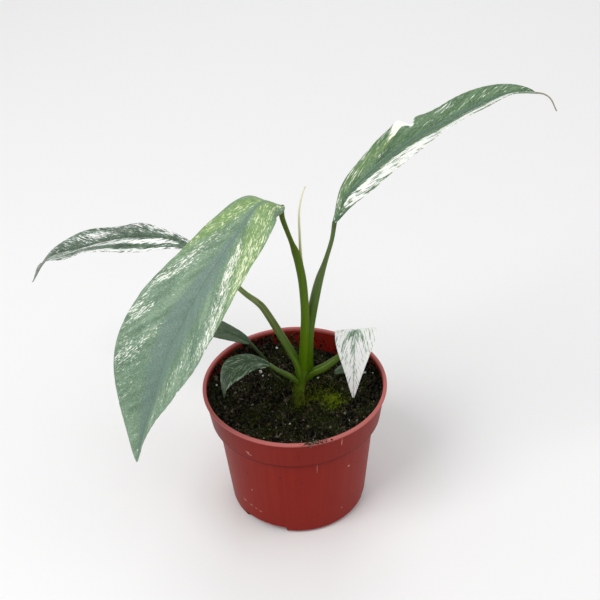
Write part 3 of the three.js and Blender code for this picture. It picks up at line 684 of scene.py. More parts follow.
STALKS = {
    "right_leaf_stalk": {
        "heading": 14,
        "route": [
            (8.8, 6.6, 92), (9, 6.4, 107), (9.5, 6, 119), (10.3, 5.5, 131), (12.7, 6.3, 145),
            (15.3, 7.2, 158), (18, 7.2, 169.5), (21.9, 7.6, 182.5), (26, 8.3, 197), (27.9, 8.9, 209.3),
        ],
        "sizes": [
            (3.8, 3.6), (3.8, 3.6), (3.7, 3.5), (3.6, 3.4), (3.4, 3.2), (3.2, 3), (2.6, 2.5), (1.6, 1.6),
            (1.4, 1.35), (1.5, 1.5),
        ],
        "groove": 0.15, "sheath": 0.72, "free_from": 0.55,
    },
    "front_leaf_stalk": {
        "heading": 213,
        "route": [
            (6.1, 4.4, 92), (6.2, 4, 107), (7, 3.2, 119), (7.7, 2.6, 131), (8.3, 2, 145), (8.1, 1.4, 158),
            (7.3, 1.2, 173), (5.5, 0.8, 186.5), (3.7, 0.6, 195), (1.4, 0.4, 203), (-2.8, 0.1, 218),
            (-3.4, -0.4, 225), (-2.4, -1.2, 228.4),
        ],
        "sizes": [
            (3, 3), (3, 3), (2.9, 2.9), (2.8, 2.8), (2.7, 2.7), (2.6, 2.6), (2.6, 2.6), (2.5, 2.5),
            (2.4, 2.3), (1.5, 1.5), (1.6, 1.6), (1.7, 1.7), (0.9, 0.9),
        ],
        "groove": 0.15, "sheath": 0.68,
    },
    "left_leaf_stalk": {
        "heading": 150,
        "route": [
            (4.4, 1, 92), (3.9, 1, 99), (2, 3, 107.5), (-2.1, 6, 115.3), (-9.3, 11, 127.6),
            (-17.3, 16.2, 140.6), (-22, 19, 145), (-31, 25, 149.5), (-45, 33, 162), (-53.3, 36.1, 172.6),
        ],
        "sizes": [
            (3, 2.5), (3, 2.5), (3, 2.4), (3, 2.4), (2.9, 2.2), (2.6, 1.9), (2.3, 1.8), (1.9, 1.5),
            (1.6, 1.5), (1.7, 1.5),
        ],
        "sheath": 0.7, "free_from": 0.35,
    },
    "small_white_leaf_stalk": {
        "heading": -5,
        "route": [
            (7.4, 2.6, 94), (12.8, 1.2, 100.3), (16.8, 1.3, 102.3), (21.6, 2.4, 104.4), (29.5, 6, 108.5),
            (34.6, 9.2, 111), (36.8, 11, 112.6),
        ],
        "sizes": [(2.4, 2.5), (2.7, 2.7), (2.9, 2.8), (2.8, 2.7), (2.2, 2.2), (1.7, 1.7), (1.5, 1.5)],
        "sheath": 0.6,
    },
    "small_left_leaf_stalk": {
        "heading": 195,
        "route": [
            (3.4, 0.6, 91), (-0.6, -0.9, 97), (-5.4, -2, 101.8), (-11, -3, 107), (-15.7, -4.1, 112.4),
        ],
        "sizes": [(2.2, 2.1), (2.2, 2.1), (2, 1.9), (1.6, 1.5), (1.4, 1.3)], "sheath": 0.5,
    },
    "dark_back_leaf_stalk": {
        "heading": 165,
        "route": [
            (-6.6, 17.5, 58), (-6.6, 17.5, 72), (-9, 18.2, 80), (-13.4, 19.3, 83.5), (-16.4, 20.2, 89),
            (-18.6, 20.9, 95.5), (-23.6, 22.2, 102.4), (-28.2, 23.3, 108.4),
        ],
        "sizes": [(1, 1)] * 6 + [(1.1, 1.1), (1.2, 1.2)],
    },
    "tiny_leaf_stalk": {
        "heading": 8,
        "route": [(23, 13.8, 58), (23, 13.8, 72), (23.8, 14, 80), (26, 14.3, 84), (26.8, 14.4, 87.8)],
        "sizes": [(0.8, 0.8)] * 4 + [(0.9, 0.9)],
    },
}

STEM = {
    "heading": -90,
    "route": [(2.2, -1, 44), (2.2, -1, 62), (2.2, -0.6, 79), (3.6, 2, 90), (6.2, 4.6, 100)],
    "sizes": [(3, 3), (3, 3), (3.1, 3), (3.6, 3.8), (4.6, 4.2)],
    "groove": 0,
}

NEW_LEAF = {
    "heading": 200,
    "route": [
        (9.8, 3.6, 152), (9, 2.6, 170), (7.2, 3.4, 187), (6.8, 4.6, 204),
        (7, 5, 220), (9.2, 5, 232), (11, 5, 237),
    ],
    "sizes": [(0.9, 0.9), (1, 1), (1, 1), (0.9, 0.8), (0.7, 0.6), (0.5, 0.5), (0.4, 0.4)],
    "groove": 0.2,
}

SHEATH_EDGE = {"angle": 52, "width": 9, "height": 0.3, "fade": 0.02, "start": 0.15}
RIBS = {"count": 9, "height": 0.035}


def sheath_edges(spec, u, angle):
    """1 on the two free edges of a stalk's sheath and 0 away from them."""
    if not spec["sheath"]:
        return np.zeros((len(u), len(angle)))
    middles = (SHEATH_EDGE["angle"], 180 - SHEATH_EDGE["angle"])
    near_edge = sum(bell(np.degrees(angle), middle, SHEATH_EDGE["width"]) for middle in middles)
    sheathed = 1 / (1 + np.exp((u - spec["sheath"]) / SHEATH_EDGE["fade"]))
    free = np.clip((u - spec["free_from"]) / SHEATH_EDGE["start"], 0, 1)
    return (sheathed * free)[:, None] * near_edge[None, :]


def sweep(spec, sides=40, rows_per_span=14, lumps=0.0):
    """Points, faces and values of a closed stalk. Its ends are shut by a point in the middle."""
    spec = {**PLAIN_STALK, **spec}
    rows = rows_per_span * (len(spec["route"]) - 1) + 1
    u = np.linspace(0, 1, rows)
    centre, direction = spline(spec["route"], u)
    sizes = spline([(wide, high, 0) for wide, high in spec["sizes"]], u)[0]
    right, up = growth_frame(direction, spec["heading"])
    angle = 2 * math.pi * (np.arange(sides) + 0.5) / sides
    height = np.sin(angle)
    hollow = np.where(height > 0, 1 - spec["groove"] * height ** 2, 1)
    edge = sheath_edges(spec, u, angle)
    ribs = RIBS["height"] * np.cos(RIBS["count"] * angle)[None, :] * sizes[:, :1]
    grown = 1 + (SHEATH_EDGE["height"] * edge + ribs) / sizes[:, :1]
    if lumps:
        rough = [(*polar(10, a), z) for z in centre[:, 2] for a in angle]
        grown = grown + lumps * rumple(rough, 0.22, 1).reshape(rows, sides)
    out = sizes[:, :1] * grown * np.cos(angle)
    rise = sizes[:, 1:2] * grown * hollow * height
    points = centre[:, None] + right[:, None] * out[..., None] + up[:, None] * rise[..., None]
    points = np.concatenate([points.reshape(-1, 3), centre[[0]], centre[[-1]]])
    values = {
        "along": np.r_[np.repeat(u, sides), 0, 1],
        "edge": np.r_[edge.ravel(), 0, 0],
        "turn": np.r_[np.tile(np.degrees(angle) / 360, rows), 0, 0],
    }
    return points, tube_faces(rows, sides), values


def stalk_material(name, colors):
    """Colours from the foot to the blade, with fine lengthwise lines and dry sheath edges."""
    shader = Shader(name, roughness=0.4, specular=0.12)
    along = shader.value("along")
    turn = shader.value("turn")
    lengthwise = shader.join(shader.times(turn, 26), shader.times(along, 3), 0.0)
    lines = shader.noise(lengthwise, detail=3)
    blotch = shader.noise(shader.stretch(shader.place(), (160, 160, 60)), detail=2)
    color = shader.mix(shader.step(along, 0.05, 0.95), colors["low"], colors["high"])
    color = shader.tint(color, shader.step(lines, 0.45, 0.7), 0.5, colors["shade"])
    color = shader.tint(color, shader.step(blotch, 0.45, 0.75), 0.4, colors["shade"])
    joint = shader.step(along, 0.93, 0.99)
    color = shader.tint(color, joint, 0.75, colors["joint"])
    color = shader.tint(color, shader.value("edge"), 0.85, colors["edge"])
    if "foot" in colors:
        height = shader.split(shader.place())[2]
        crust = shader.math("ADD", height, shader.times(blotch, 0.012))
        color = shader.mix(shader.step(crust, 0.098, 0.088), color, colors["foot"])
    shader.color(color)
    shader.bump(lines, 0.12, 0.6)
    shader.soften(0.1, 1.2)
    return shader.material


# Colours of a stalk, in the order of STALK_PARTS. Only the stem has a crust of its own at the foot.
STALK_PARTS = ("low", "high", "shade", "joint", "edge", "foot")
STALK_COLORS = {
    # Painted light and shade on the bundle: the front stalk's low green is lighter, the right stalk's
    # deeper.
    "right_leaf_stalk": [(78, 112, 8), (94, 112, 66), (58, 88, 8), (74, 88, 52), (128, 138, 104)],
    "front_leaf_stalk": [(92, 126, 10), (76, 92, 18), (66, 92, 8), (44, 42, 22), (110, 124, 56)],
    "left_leaf_stalk": [(84, 116, 14), (122, 138, 86), (64, 90, 18), (96, 112, 70), (164, 148, 122)],
    "small_white_leaf_stalk": [(84, 114, 18), (92, 116, 48), (58, 80, 18), (92, 110, 58), (140, 160, 90)],
    "small_left_leaf_stalk": [(84, 112, 22), (96, 120, 60), (60, 80, 20), (96, 118, 68), (126, 146, 84)],
    "dark_back_leaf_stalk": [(54, 62, 30), (62, 80, 44), (40, 50, 24), (62, 80, 46), (78, 96, 56)],
    "tiny_leaf_stalk": [(60, 64, 36), (78, 94, 58), (48, 58, 32), (80, 96, 62), (84, 100, 60)],
    "stem": [(106, 126, 38), (90, 118, 24), (82, 92, 30), (90, 118, 24), (110, 132, 52), (96, 108, 38)],
    "new_leaf": [(168, 176, 96), (238, 236, 208), (206, 208, 156), (214, 204, 160), (238, 236, 208)],
}


def swept_piece(name, look, spec, slot, **grid):
    points, faces, values = sweep(spec, **grid)
    material = stalk_material(look, dict(zip(STALK_PARTS, STALK_COLORS[look])))
    piece = new_piece("fine_" + name, points, faces, [material], None, (name,))
    hold_values(piece, **values)


def make_stem():
    swept_piece("stem", "stem", STEM, "green_stem", rows_per_span=24, lumps=0.1)


def make_stalks():
    for name, spec in STALKS.items():
        swept_piece(name, name, spec, "leaf_stalk")


def make_new_leaf():
    swept_piece("new_leaf_spike", "new_leaf", NEW_LEAF, "young_leaf", sides=24)


# Pot

POT = {
    "height": 93,
    "lip_radius": 60,
    "lip_height": 1.8,
    "collar_top": 58.8,
    "collar_foot": 56,
    "collar_level": 70,
    "shoulder": 51.8,
    "base": 45.5,
    "corner": 4.5,
    "wall": 1.2,
    "floor": 1.4,
}
CHANNELS = {
    "headings": (-121.5, -1.5, 118.5),
    "half_angle": 20,
    "roof_half_angle": 22.5,
    "height": 5.5,
    "inner": 14,
    "drain_radius": 3.5,
    "drain_reach": 34,
}
POT_SIDES = 240
WEDGE_STEPS = 20
POST_SIDES = 32


def arc(centre_radius, centre_z, radius, start, end, steps):
    """Points of a profile on an arc; angles are degrees from outwards towards up."""
    angles = np.radians(np.linspace(start, end, steps + 1))
    return [(centre_radius + radius * math.cos(a), centre_z + radius * math.sin(a)) for a in angles]


def lathe(name, profile):
    """A closed solid from a profile that starts and ends on the axis."""
    ring = np.array(profile[1:-1])
    angle = 2 * math.pi * np.arange(POT_SIDES) / POT_SIDES
    x = ring[:, :1] * np.cos(angle)
    y = ring[:, :1] * np.sin(angle)
    z = ring[:, 1:] + 0 * angle
    points = np.stack([x, y, z], -1).reshape(-1, 3)
    points = np.vstack([points, (0, 0, profile[0][1]), (0, 0, profile[-1][1])])
    return plain_object(name, points, tube_faces(len(ring), POT_SIDES))


def plain_object(name, points, faces):
    mesh = bpy.data.meshes.new(name)
    mesh.from_pydata((np.asarray(points) * MM).tolist(), [], faces)
    item = bpy.data.objects.new(name, mesh)
    bpy.context.scene.collection.objects.link(item)
    return item


def prism(name, outline, bottom, top):
    """A block with upright walls."""
    count = len(outline)
    points = [(x, y, bottom) for x, y in outline] + [(x, y, top) for x, y in outline]
    faces = [list(range(count))[::-1], list(range(count, 2 * count))]
    faces += [[k, (k + 1) % count, count + (k + 1) % count, count + k] for k in range(count)]
    return plain_object(name, points, faces)


def wedge(heading, half_angle, inner, outer, bottom, top):
    """A block between two radii and two headings."""
    angles = np.radians(np.linspace(heading - half_angle, heading + half_angle, WEDGE_STEPS + 1))
    outline = [polar(outer, a) for a in angles] + [polar(inner, a) for a in angles[::-1]]
    return prism("wedge", outline, bottom, top)


def post(x, y, radius, bottom, top):
    angles = 2 * math.pi * np.arange(POST_SIDES) / POST_SIDES
    outline = [(x + out, y + along) for out, along in (polar(radius, a) for a in angles)]
    return prism("post", outline, bottom, top)


def cut(item, tool):
    """Takes the tool's volume out of the item, and removes the tool."""
    modifier = item.modifiers.new("cut", "BOOLEAN")
    modifier.operation = "DIFFERENCE"
    modifier.solver = "EXACT"
    modifier.object = tool
    view = bpy.context.evaluated_depsgraph_get()
    mesh = bpy.data.meshes.new_from_object(item.evaluated_get(view))
    item.modifiers.clear()
    item.data = mesh
    bpy.data.objects.remove(tool)


def pot_profiles():
    height, lip, drop = POT["height"], POT["lip_radius"], POT["lip_height"]
    level, wall, floor = POT["collar_level"], POT["wall"], POT["floor"]
    outer = [(0, 0)]
    outer += arc(POT["base"] - POT["corner"], POT["corner"], POT["corner"], -90, -3, 10)
    outer += [(POT["shoulder"], level - 0.2), (POT["shoulder"] + 0.25, level)]
    outer += arc(POT["collar_foot"] - 0.6, level + 1.2, 0.6, -80, 0, 5)
    outer += [(POT["collar_top"], height - drop - 0.3)]
    outer += arc(lip - 0.35, height - drop + 0.35, 0.35, -90, 0, 4)
    outer += arc(lip - 0.7, height - 0.7, 0.7, 0, 90, 7)
    outer += [(0, height)]
    top = height + 5
    cavity = [(0, floor), (POT["base"] - POT["corner"], floor)]
    cavity += [(POT["base"] - wall, floor + POT["corner"] - wall), (POT["shoulder"] - wall, level)]
    cavity += [(POT["collar_foot"] - wall, level + wall), (POT["collar_top"] - wall, height - 0.6)]
    cavity += [(POT["collar_top"] - wall + 0.2, height - 0.15), (POT["collar_top"] - wall + 0.6, height)]
    cavity += [(POT["collar_top"] - wall + 0.6, top), (0, top)]
    return outer, cavity


def make_pot():
    outer, hollow = pot_profiles()
    pot = lathe("pot_body", outer)
    cavity = lathe("cavity", hollow)
    reach, inner = POT["lip_radius"], CHANNELS["inner"]
    roof = CHANNELS["height"] + POT["floor"]
    for heading in CHANNELS["headings"]:
        cut(cavity, wedge(heading, CHANNELS["roof_half_angle"], inner - POT["wall"], reach, -1, roof))
    cut(pot, cavity)
    for heading in CHANNELS["headings"]:
        cut(pot, wedge(heading, CHANNELS["half_angle"], inner, reach, -1, CHANNELS["height"]))
        x, y = polar(CHANNELS["drain_reach"], math.radians(heading))
        cut(pot, post(x, y, CHANNELS["drain_radius"], 1, 9))
    pot.data.materials.clear()
    pot.data.materials.append(pot_material())
    shade_by_angle(pot, 30)
    declare(pot, ("pot",))


def shade_by_angle(item, degrees):
    """Smooth faces, with a crisp line where they meet at more than the angle."""
    item.data.polygons.foreach_set("use_smooth", np.full(len(item.data.polygons), True))
    item.data.set_sharp_from_angle(angle=math.radians(degrees))


# Marks on the pot: heading, height, reach along, reach up, strength
SCRATCHES = [
    (-123, 77.6, 1.5, 0.35, 0.8), (-121.4, 75.8, 1.6, 0.3, 0.7), (-122.6, 76.6, 0.35, 1, 0.6),
    (-49, 53, 0.9, 0.9, 0.8), (-129, 34.5, 0.7, 0.7, 0.6), (-53, 14.5, 0.7, 0.5, 0.7),
    (-61, 86, 0.35, 3.4, 0.6), (-76, 63, 0.3, 5, 0.35), (-140, 18, 2.2, 0.9, 0.4),
    (-133, 17.2, 1.6, 0.6, 0.5), (-128, 16.4, 1.2, 0.5, 0.5), (-123.5, 15.6, 1.6, 0.6, 0.4),
]
STAINS = [
    (-89.2, 80, 0.3, 4, 0.5), (-131, 50, 0.8, 0.8, 0.8), (-125.5, 48, 0.6, 0.6, 0.7),
    (-103, 55.5, 0.8, 0.8, 0.7), (-87.5, 50.5, 0.7, 0.7, 0.7), (-39.5, 50.5, 0.8, 0.8, 0.8),
    (-33, 59.5, 0.8, 1.2, 0.8),
]

# Heights in metres between which a colour of the pot comes in
FADES = {
    # The lip heights bound the painted highlight on the lip.
    "lip": (0.0905, 0.0925),
    "collar": (0.0705, 0.0715),
    "foot": (0.022, 0.002),
    # The next two heights bound a painted shadow on the body just under the collar and on the collar's lower
    # edge.
    "painted_shadow_foot": (0.0655, 0.068),
    "painted_shadow_top": (0.0722, 0.0713),
}


def pot_material():
    shader = Shader("pot_plastic", roughness=0.36, specular=0.09)
    place = shader.place()
    x, y, z = shader.split(place)
    heading = shader.math("ARCTAN2", y, x)
    round_wall = shader.join(shader.times(heading, 0.05), 0.0, z)
    flow = shader.noise(shader.stretch(round_wall, (600, 1, 10)), detail=2)
    scuff = shader.noise(shader.stretch(round_wall, (700, 1, 260)), detail=5, roughness=0.7, distortion=1.5)
    grain = shader.noise(place, 1400, detail=2)
    color = moulded_color(shader, place, z, flow)
    color = worn_color(shader, color, place, z, scuff)
    color = marked_color(shader, color, heading, z)
    # Painted shadow: a thin dark red band just under the collar's overhang, where its shade falls.
    painted_collar_shadow = shader.times(shader.step(z, *FADES["painted_shadow_foot"]), shader.step(z, *FADES["painted_shadow_top"]))
    shader.color(shader.tint(color, painted_collar_shadow, 0.7, (60, 10, 7)))
    shader.roughness(scuff, 0.34, 0.5)
    shader.bump(shader.math("ADD", grain, flow), 0.05, 0.35)
    return shader.material


def moulded_color(shader, place, z, flow):
    """Red plastic with faint lines of flow, a darker collar and a pale pink painted highlight on the lip."""
    color = shader.mix(shader.noise(place, 24, detail=3), (126, 26, 17), (139, 33, 23))
    color = shader.tint(color, shader.step(flow, 0.45, 0.7), 0.3, (148, 44, 32))
    color = shader.tint(color, shader.step(z, *FADES["collar"]), 0.2, (88, 18, 12))
    # Painted highlight: the rounded lip is tinted pale pink all round, where it would catch the lamps.
    return shader.tint(color, shader.step(z, *FADES["lip"]), 0.62, (214, 128, 124))


def worn_color(shader, color, place, z, scuff):
    """Pale scuffs, most of them at the foot, and small dark specks."""
    low_down = shader.math("ADD", shader.step(z, *FADES["foot"]), 0.12)
    color = shader.tint(color, shader.times(low_down, shader.step(scuff, 0.62, 0.74)), 0.6, (190, 140, 128))
    dust = shader.step(shader.cells(place, 190), 0.1, 0.05)
    return shader.tint(color, dust, shader.step(shader.noise(place, 60, detail=1), 0.58, 0.66), (52, 20, 16))


def marked_color(shader, color, heading, z):
    """The single scratches and stains, on the unrolled wall."""
    wall = shader.join(shader.times(heading, POT["shoulder"] * MM), 0.0, z)
    for marks, mark_color in ((SCRATCHES, (214, 160, 146)), (STAINS, (58, 16, 12))):
        for mark_heading, height, along, up, strength in marks:
            middle = (math.radians(mark_heading) * POT["shoulder"], 0, height)
            color = shader.tint(color, shader.spot(wall, middle, (along, 1, up)), strength, mark_color)
    return color


# Soil, and what lies in it

SOIL = {
    "level": 76,
    "relief": 1.3,
    "banks": [
        {"heading": 125, "half_angle": 38, "height": 8, "width": 6},
        {"heading": -175, "half_angle": 30, "height": 7, "width": 5},
        {"heading": 8, "half_angle": 26, "height": 8.5, "width": 6},
    ],
    "gap": 0.3,
    "sides": 320,
    "rings": 112,
}
SOIL_REACH = 54
GRAIN_REACH = 53


def wall_radius(z):
    """Inner radius of the pot's collar at that height."""
    rise = (z - POT["collar_level"] - POT["wall"]) / (POT["height"] - POT["collar_level"] - POT["wall"])
    return POT["collar_foot"] - POT["wall"] + rise * (POT["collar_top"] - POT["collar_foot"])


def soil_height(x, y):
    clods = np.sin(0.31 * x + 1.3) * np.cos(0.27 * y - 0.6) + 0.6 * np.sin(0.53 * y - 0.44 * x)
    banks = 0
    for bank in SOIL["banks"]:
        apart = (np.degrees(np.arctan2(y, x)) - bank["heading"] + 540) % 360 - 180
        to_wall = (POT["collar_foot"] - np.hypot(x, y)) / bank["width"]
        banks = banks + bank["height"] * np.exp(-((apart / bank["half_angle"]) ** 2) - to_wall ** 2)
    return SOIL["level"] + SOIL["relief"] * clods + banks


def crumble(x, y):
    """Fine ups and downs of the surface, in millimetres."""
    place = Vector((x, y, 0))
    return (1.1 * noise.noise(place * 0.35) + 0.8 * noise.noise(place * 0.9 + Vector((7, 3, 1)))
            + 0.45 * noise.noise(place * 2.1))


def soil_surface(x, y):
    return float(soil_height(x, y)) + crumble(x, y)


def make_soil():
    """The plug: its wall and base follow the inside of the pot, and its top is crumbly."""
    angles = 2 * math.pi * np.arange(SOIL["sides"]) / SOIL["sides"]
    wall = POT["wall"] + SOIL["gap"]
    base = CHANNELS["height"] + POT["floor"] + SOIL["gap"]
    share = (base - POT["corner"]) / (POT["collar_level"] - POT["corner"])
    foot = POT["base"] - wall + share * (POT["shoulder"] - POT["base"])
    rows = []
    for radius, z in (
        (foot * 0.98, base),
        (foot, base + 1),
        (POT["shoulder"] - wall, POT["collar_level"] + SOIL["gap"]),
        (POT["collar_foot"] - wall, POT["collar_level"] + wall),
    ):
        rows.append([(*polar(radius, a), z) for a in angles])
    reach = wall_radius(SOIL["level"] + 2) - SOIL["gap"]
    for part in np.linspace(1, 0.01, SOIL["rings"]):
        places = [polar(reach * part, a) for a in angles]
        rows.append([(x, y, soil_surface(x, y)) for x, y in places])
    points = np.array(rows).reshape(-1, 3)
    points = np.vstack([points, (0, 0, base), (0, 0, soil_surface(0, 0))])
    faces = tube_faces(len(rows), SOIL["sides"])
    new_piece("fine_soil", points, faces, [soil_material("soil")], None, ("soil",))


def soil_material(name, by_tone=False):
    shader = Shader(name, roughness=0.95, specular=0.08)
    place = shader.place()
    crumb = shader.noise(place, 420, detail=4, roughness=0.7)
    patch = shader.noise(place, 70, detail=2)
    color = shader.mix(shader.step(crumb, 0.46, 0.68), (4, 4, 4), (72, 68, 54))
    color = shader.tint(color, shader.step(patch, 0.44, 0.62), 0.55, (42, 50, 18))
    if by_tone:
        tone = shader.value("tone")
        color = shader.mix(shader.step(tone, 0.6, 0.95), color, (74, 68, 50))
        color = shader.mix(shader.step(tone, 0.95, 0.99), color, (128, 122, 102))
    shader.color(color)
    shader.bump(crumb, 0.6, 0.9)
    return shader.material


def ico_lump(level):
    """Unit points and triangles of a ball."""
    ball = bmesh.new()
    bmesh.ops.create_icosphere(ball, subdivisions=level, radius=1)
    points = np.array([v.co[:] for v in ball.verts])
    faces = np.array([[v.index for v in f.verts] for f in ball.faces])
    ball.free()
    return points, faces


class Pile:
    """Many small closed shapes gathered in one mesh, each with a tone from 0 to 1."""

    def __init__(self, seed):
        self.rng = random.Random(seed)
        self.points = []
        self.faces = []
        self.tones = []
        self.count = 0

    def add(self, points, faces, tone):
        self.points.append(np.asarray(points, float))
        self.faces += (np.asarray(faces) + self.count).tolist()
        self.tones += [tone] * len(points)
        self.count += len(points)

    def lump(self, place, size, ball, tone, flat=1.0, jag=0.3):
        """An uneven grain, turned at random; size is its radius, and flat thins it."""
        points, faces = ball
        stretch = np.array([self.rng.uniform(0.7, 1.3), self.rng.uniform(0.7, 1.3), flat])
        spin = Matrix.Rotation(self.rng.uniform(0, 6.3), 3, "Z")
        spin = spin @ Matrix.Rotation(self.rng.uniform(-1, 1), 3, "X")
        jitter = np.array([1 + jag * (self.rng.random() - 0.5) for _ in points])[:, None]
        shaped = (points * jitter * stretch * size) @ np.array(spin)
        self.add(shaped + np.array(place), faces, tone)

    def strand(self, path, radius, tone, taper=0.3):
        """A thin three-sided thread along a list of points."""
        path = np.asarray(path, float)
        rows = len(path)
        direction = np.gradient(path, axis=0)
        direction /= np.maximum(np.linalg.norm(direction, axis=1), 1e-9)[:, None]
        first = np.cross(direction, (0.3, 0.2, 0.93))
        first /= np.maximum(np.linalg.norm(first, axis=1), 1e-9)[:, None]
        second = np.cross(direction, first)
        size = radius * np.linspace(1, taper, rows)[:, None]
        corners = [first * math.cos(a) + second * math.sin(a) for a in (0, 2.094, 4.189)]
        points = np.stack([path + corner * size for corner in corners], 1).reshape(-1, 3)
        faces = []
        for i in range(rows - 1):
            for k in range(3):
                a, b = 3 * i + k, 3 * i + (k + 1) % 3
                faces += [(a, b, b + 3), (a, b + 3, a + 3)]
        last = 3 * rows - 3
        faces += [(0, 2, 1), (last, last + 1, last + 2)]
        self.add(points, faces, tone)

    def piece(self, name, material, slot, smooth=False):
        item = new_piece(name, np.concatenate(self.points), self.faces, [material], smooth=smooth)
        hold_values(item, tone=self.tones)
        return item

    def spot(self, reach=SOIL_REACH):
        """A random place on the soil."""
        x, y = polar(reach * math.sqrt(self.rng.random()), self.rng.uniform(0, 2 * math.pi))
        return x, y, soil_surface(x, y)

    def angle(self, dirt):
        """A random angle near the dirt's heading."""
        return math.radians(self.rng.gauss(dirt["heading"], dirt["spread"]))


CRUMBS = 5200
RIM_DIRT = {"heading": -79, "spread": 3.6, "count": 110, "threads": 26, "inner": 56.6, "outer": 60}
WALL_DIRT = [
    {"heading": 122, "spread": 20, "count": 1900},
    {"heading": 178, "spread": 18, "count": 1200},
    {"heading": 14, "spread": 18, "count": 1200},
]
WALL_DIRT_FOOT = 77
WALL_DIRT_HEIGHT = 13


def make_crumbs():
    """Crumbs on the soil, dirt on the wall above it, and a little dirt on the lip."""
    pile = Pile(7)
    ball = ico_lump(1)
    for _ in range(CRUMBS):
        x, y, z = pile.spot()
        size = 0.3 + pile.rng.random() ** 3
        pile.lump((x, y, z + 0.35 * size), size, ball, pile.rng.random())
    for dirt in WALL_DIRT:
        for _ in range(dirt["count"]):
            angle = pile.angle(dirt)
            z = WALL_DIRT_FOOT + WALL_DIRT_HEIGHT * pile.rng.random() ** 1.6
            size = 0.25 + 0.8 * pile.rng.random() ** 2
            pile.lump((*polar(wall_radius(z) - 0.3, angle), z), size, ball, 0.9 * pile.rng.random())
    for _ in range(RIM_DIRT["count"]):
        angle = pile.angle(RIM_DIRT)
        radius = pile.rng.uniform(RIM_DIRT["inner"], RIM_DIRT["outer"])
        place = (*polar(radius, angle), POT["height"] - 0.25)
        size = 0.25 + 0.6 * pile.rng.random()
        pile.lump(place, size, ball, 0.9 * pile.rng.random(), flat=0.6)
    pile.piece("soil_crumbs", soil_material("crumbs", by_tone=True), "potting_soil")


FIBRES = {"count": 420, "reach": 52, "steps": 8}
RIM_THREAD = ((56, 92.2), (58, 93.3), (60, 93.1), (60.4, 92.2))


def fibre_path(pile):
    """A thread that wanders over the soil. It is short where it would leave it."""
    x, y, _ = pile.spot(FIBRES["reach"])
    heading = pile.rng.uniform(0, 6.3)
    bend = pile.rng.uniform(-0.35, 0.35)
    step = pile.rng.uniform(0.5, 1.3)
    rise = pile.rng.uniform(0.1, 0.5)
    path = []
    for _ in range(FIBRES["steps"]):
        path.append((x, y, soil_surface(x, y) + rise))
        x, y = x + step * math.cos(heading), y + step * math.sin(heading)
        if math.hypot(x, y) > SOIL_REACH:
            break
        heading += bend + pile.rng.uniform(-0.25, 0.25)
        rise += pile.rng.uniform(-0.1, 0.25)
    return path


def make_fibres():
    """Threads of peat and fine roots on the soil, and a few that hang over the lip."""
    pile = Pile(19)
    for _ in range(FIBRES["count"]):
        path = fibre_path(pile)
        if len(path) > 3:
            pile.strand(path, pile.rng.uniform(0.06, 0.17), pile.rng.random() ** 2)
    for _ in range(RIM_DIRT["threads"]):
        angle = pile.angle(RIM_DIRT)
        lean = pile.rng.uniform(-0.035, 0.035)
        path = []
        for reach, z in (*RIM_THREAD, (60.2, 92.2 - 2.5 * pile.rng.random())):
            path.append((*polar(reach, angle), z))
            angle += lean
        pile.strand(path, pile.rng.uniform(0.08, 0.16), pile.rng.random() ** 2)
    pile.piece("fibres", fibre_material(), "potting_soil", smooth=True)


def fibre_material():
    shader = Shader("fibres", roughness=0.7, specular=0.3)
    tone = shader.value("tone")
    speckle = shader.noise(shader.place(), 900, detail=2)
    color = shader.mix(tone, (52, 40, 28), (196, 184, 162))
    color = shader.tint(color, speckle, 0.5, (60, 52, 34))
    shader.color(color)
    return shader.material


# Moss patches: x, y, reach, number of shoots, brightness
MOSS = [
    (24.7, -1.5, 3.4, 1500, 0.9),
    (20, 7, 4.2, 700, 0.6),
    (21, 20, 5, 420, 0.45),
    (12, 4.5, 3.6, 460, 0.6),
    (3, 13, 5, 400, 0.45),
    (2.2, -1, 3.2, 700, 0.6),
    (-6, 54, 5, 220, 0.4),
    (-22, -20, 11, 700, 0.3),
    (12, -30, 12, 700, 0.25),
    (0, 0, 30, 8000, 0.34),
]
MOSS_LIMIT = 53.5
BROAD_MOSS = 0.4
STEM_MOSS = {"count": 620, "foot": 75, "height": 13, "place": (2.2, -0.6)}


def moss_brightness(x, y, brightness):
    """The broad faint patches are brighter in some places than in others."""
    if brightness >= BROAD_MOSS:
        return brightness
    uneven = noise.noise(Vector((0.13 * x, 0.13 * y, 4)))
    return (0.25 + 1.4 * max(0, uneven + 0.25)) * brightness


def moss_shoot(pile, x, y, brightness):
    lean = pile.rng.uniform(0, 6.3)
    tall = pile.rng.uniform(0.7, 2) * (0.8 + 0.5 * brightness)
    z = soil_surface(x, y)
    path = [(x, y, z - 0.3)]
    for k in (1, 2):
        reach = 0.3 * tall * k * k / 4 * pile.rng.uniform(0.6, 1.6)
        path.append((x + reach * math.cos(lean), y + reach * math.sin(lean), z + tall * k / 2))
    width = pile.rng.uniform(0.12, 0.24)
    pile.strand(path, width, moss_brightness(x, y, brightness) * pile.rng.uniform(0.4, 1.4), taper=0.2)


def stem_shoot(pile):
    """A shoot that stands out from the foot of the stem."""
    angle = pile.rng.uniform(0, 2 * math.pi)
    z = STEM_MOSS["foot"] + STEM_MOSS["height"] * pile.rng.random() ** 1.5
    path = []
    for k in range(3):
        x, y = polar(STEM["sizes"][0][0] - 0.3 + 0.7 * k, angle)
        path.append((STEM_MOSS["place"][0] + x, STEM_MOSS["place"][1] + y, z + 0.5 * k))
        angle += pile.rng.uniform(-0.15, 0.15)
    pile.strand(path, pile.rng.uniform(0.12, 0.24), pile.rng.uniform(0.4, 1), taper=0.2)


def make_moss():
    pile = Pile(31)
    for patch_x, patch_y, reach, count, brightness in MOSS:
        for _ in range(count):
            x, y = pile.rng.gauss(patch_x, reach), pile.rng.gauss(patch_y, reach)
            if math.hypot(x, y) <= MOSS_LIMIT:
                moss_shoot(pile, x, y, brightness)
    for _ in range(STEM_MOSS["count"]):
        stem_shoot(pile)
    pile.piece("moss", moss_material(), "potting_soil", smooth=True)


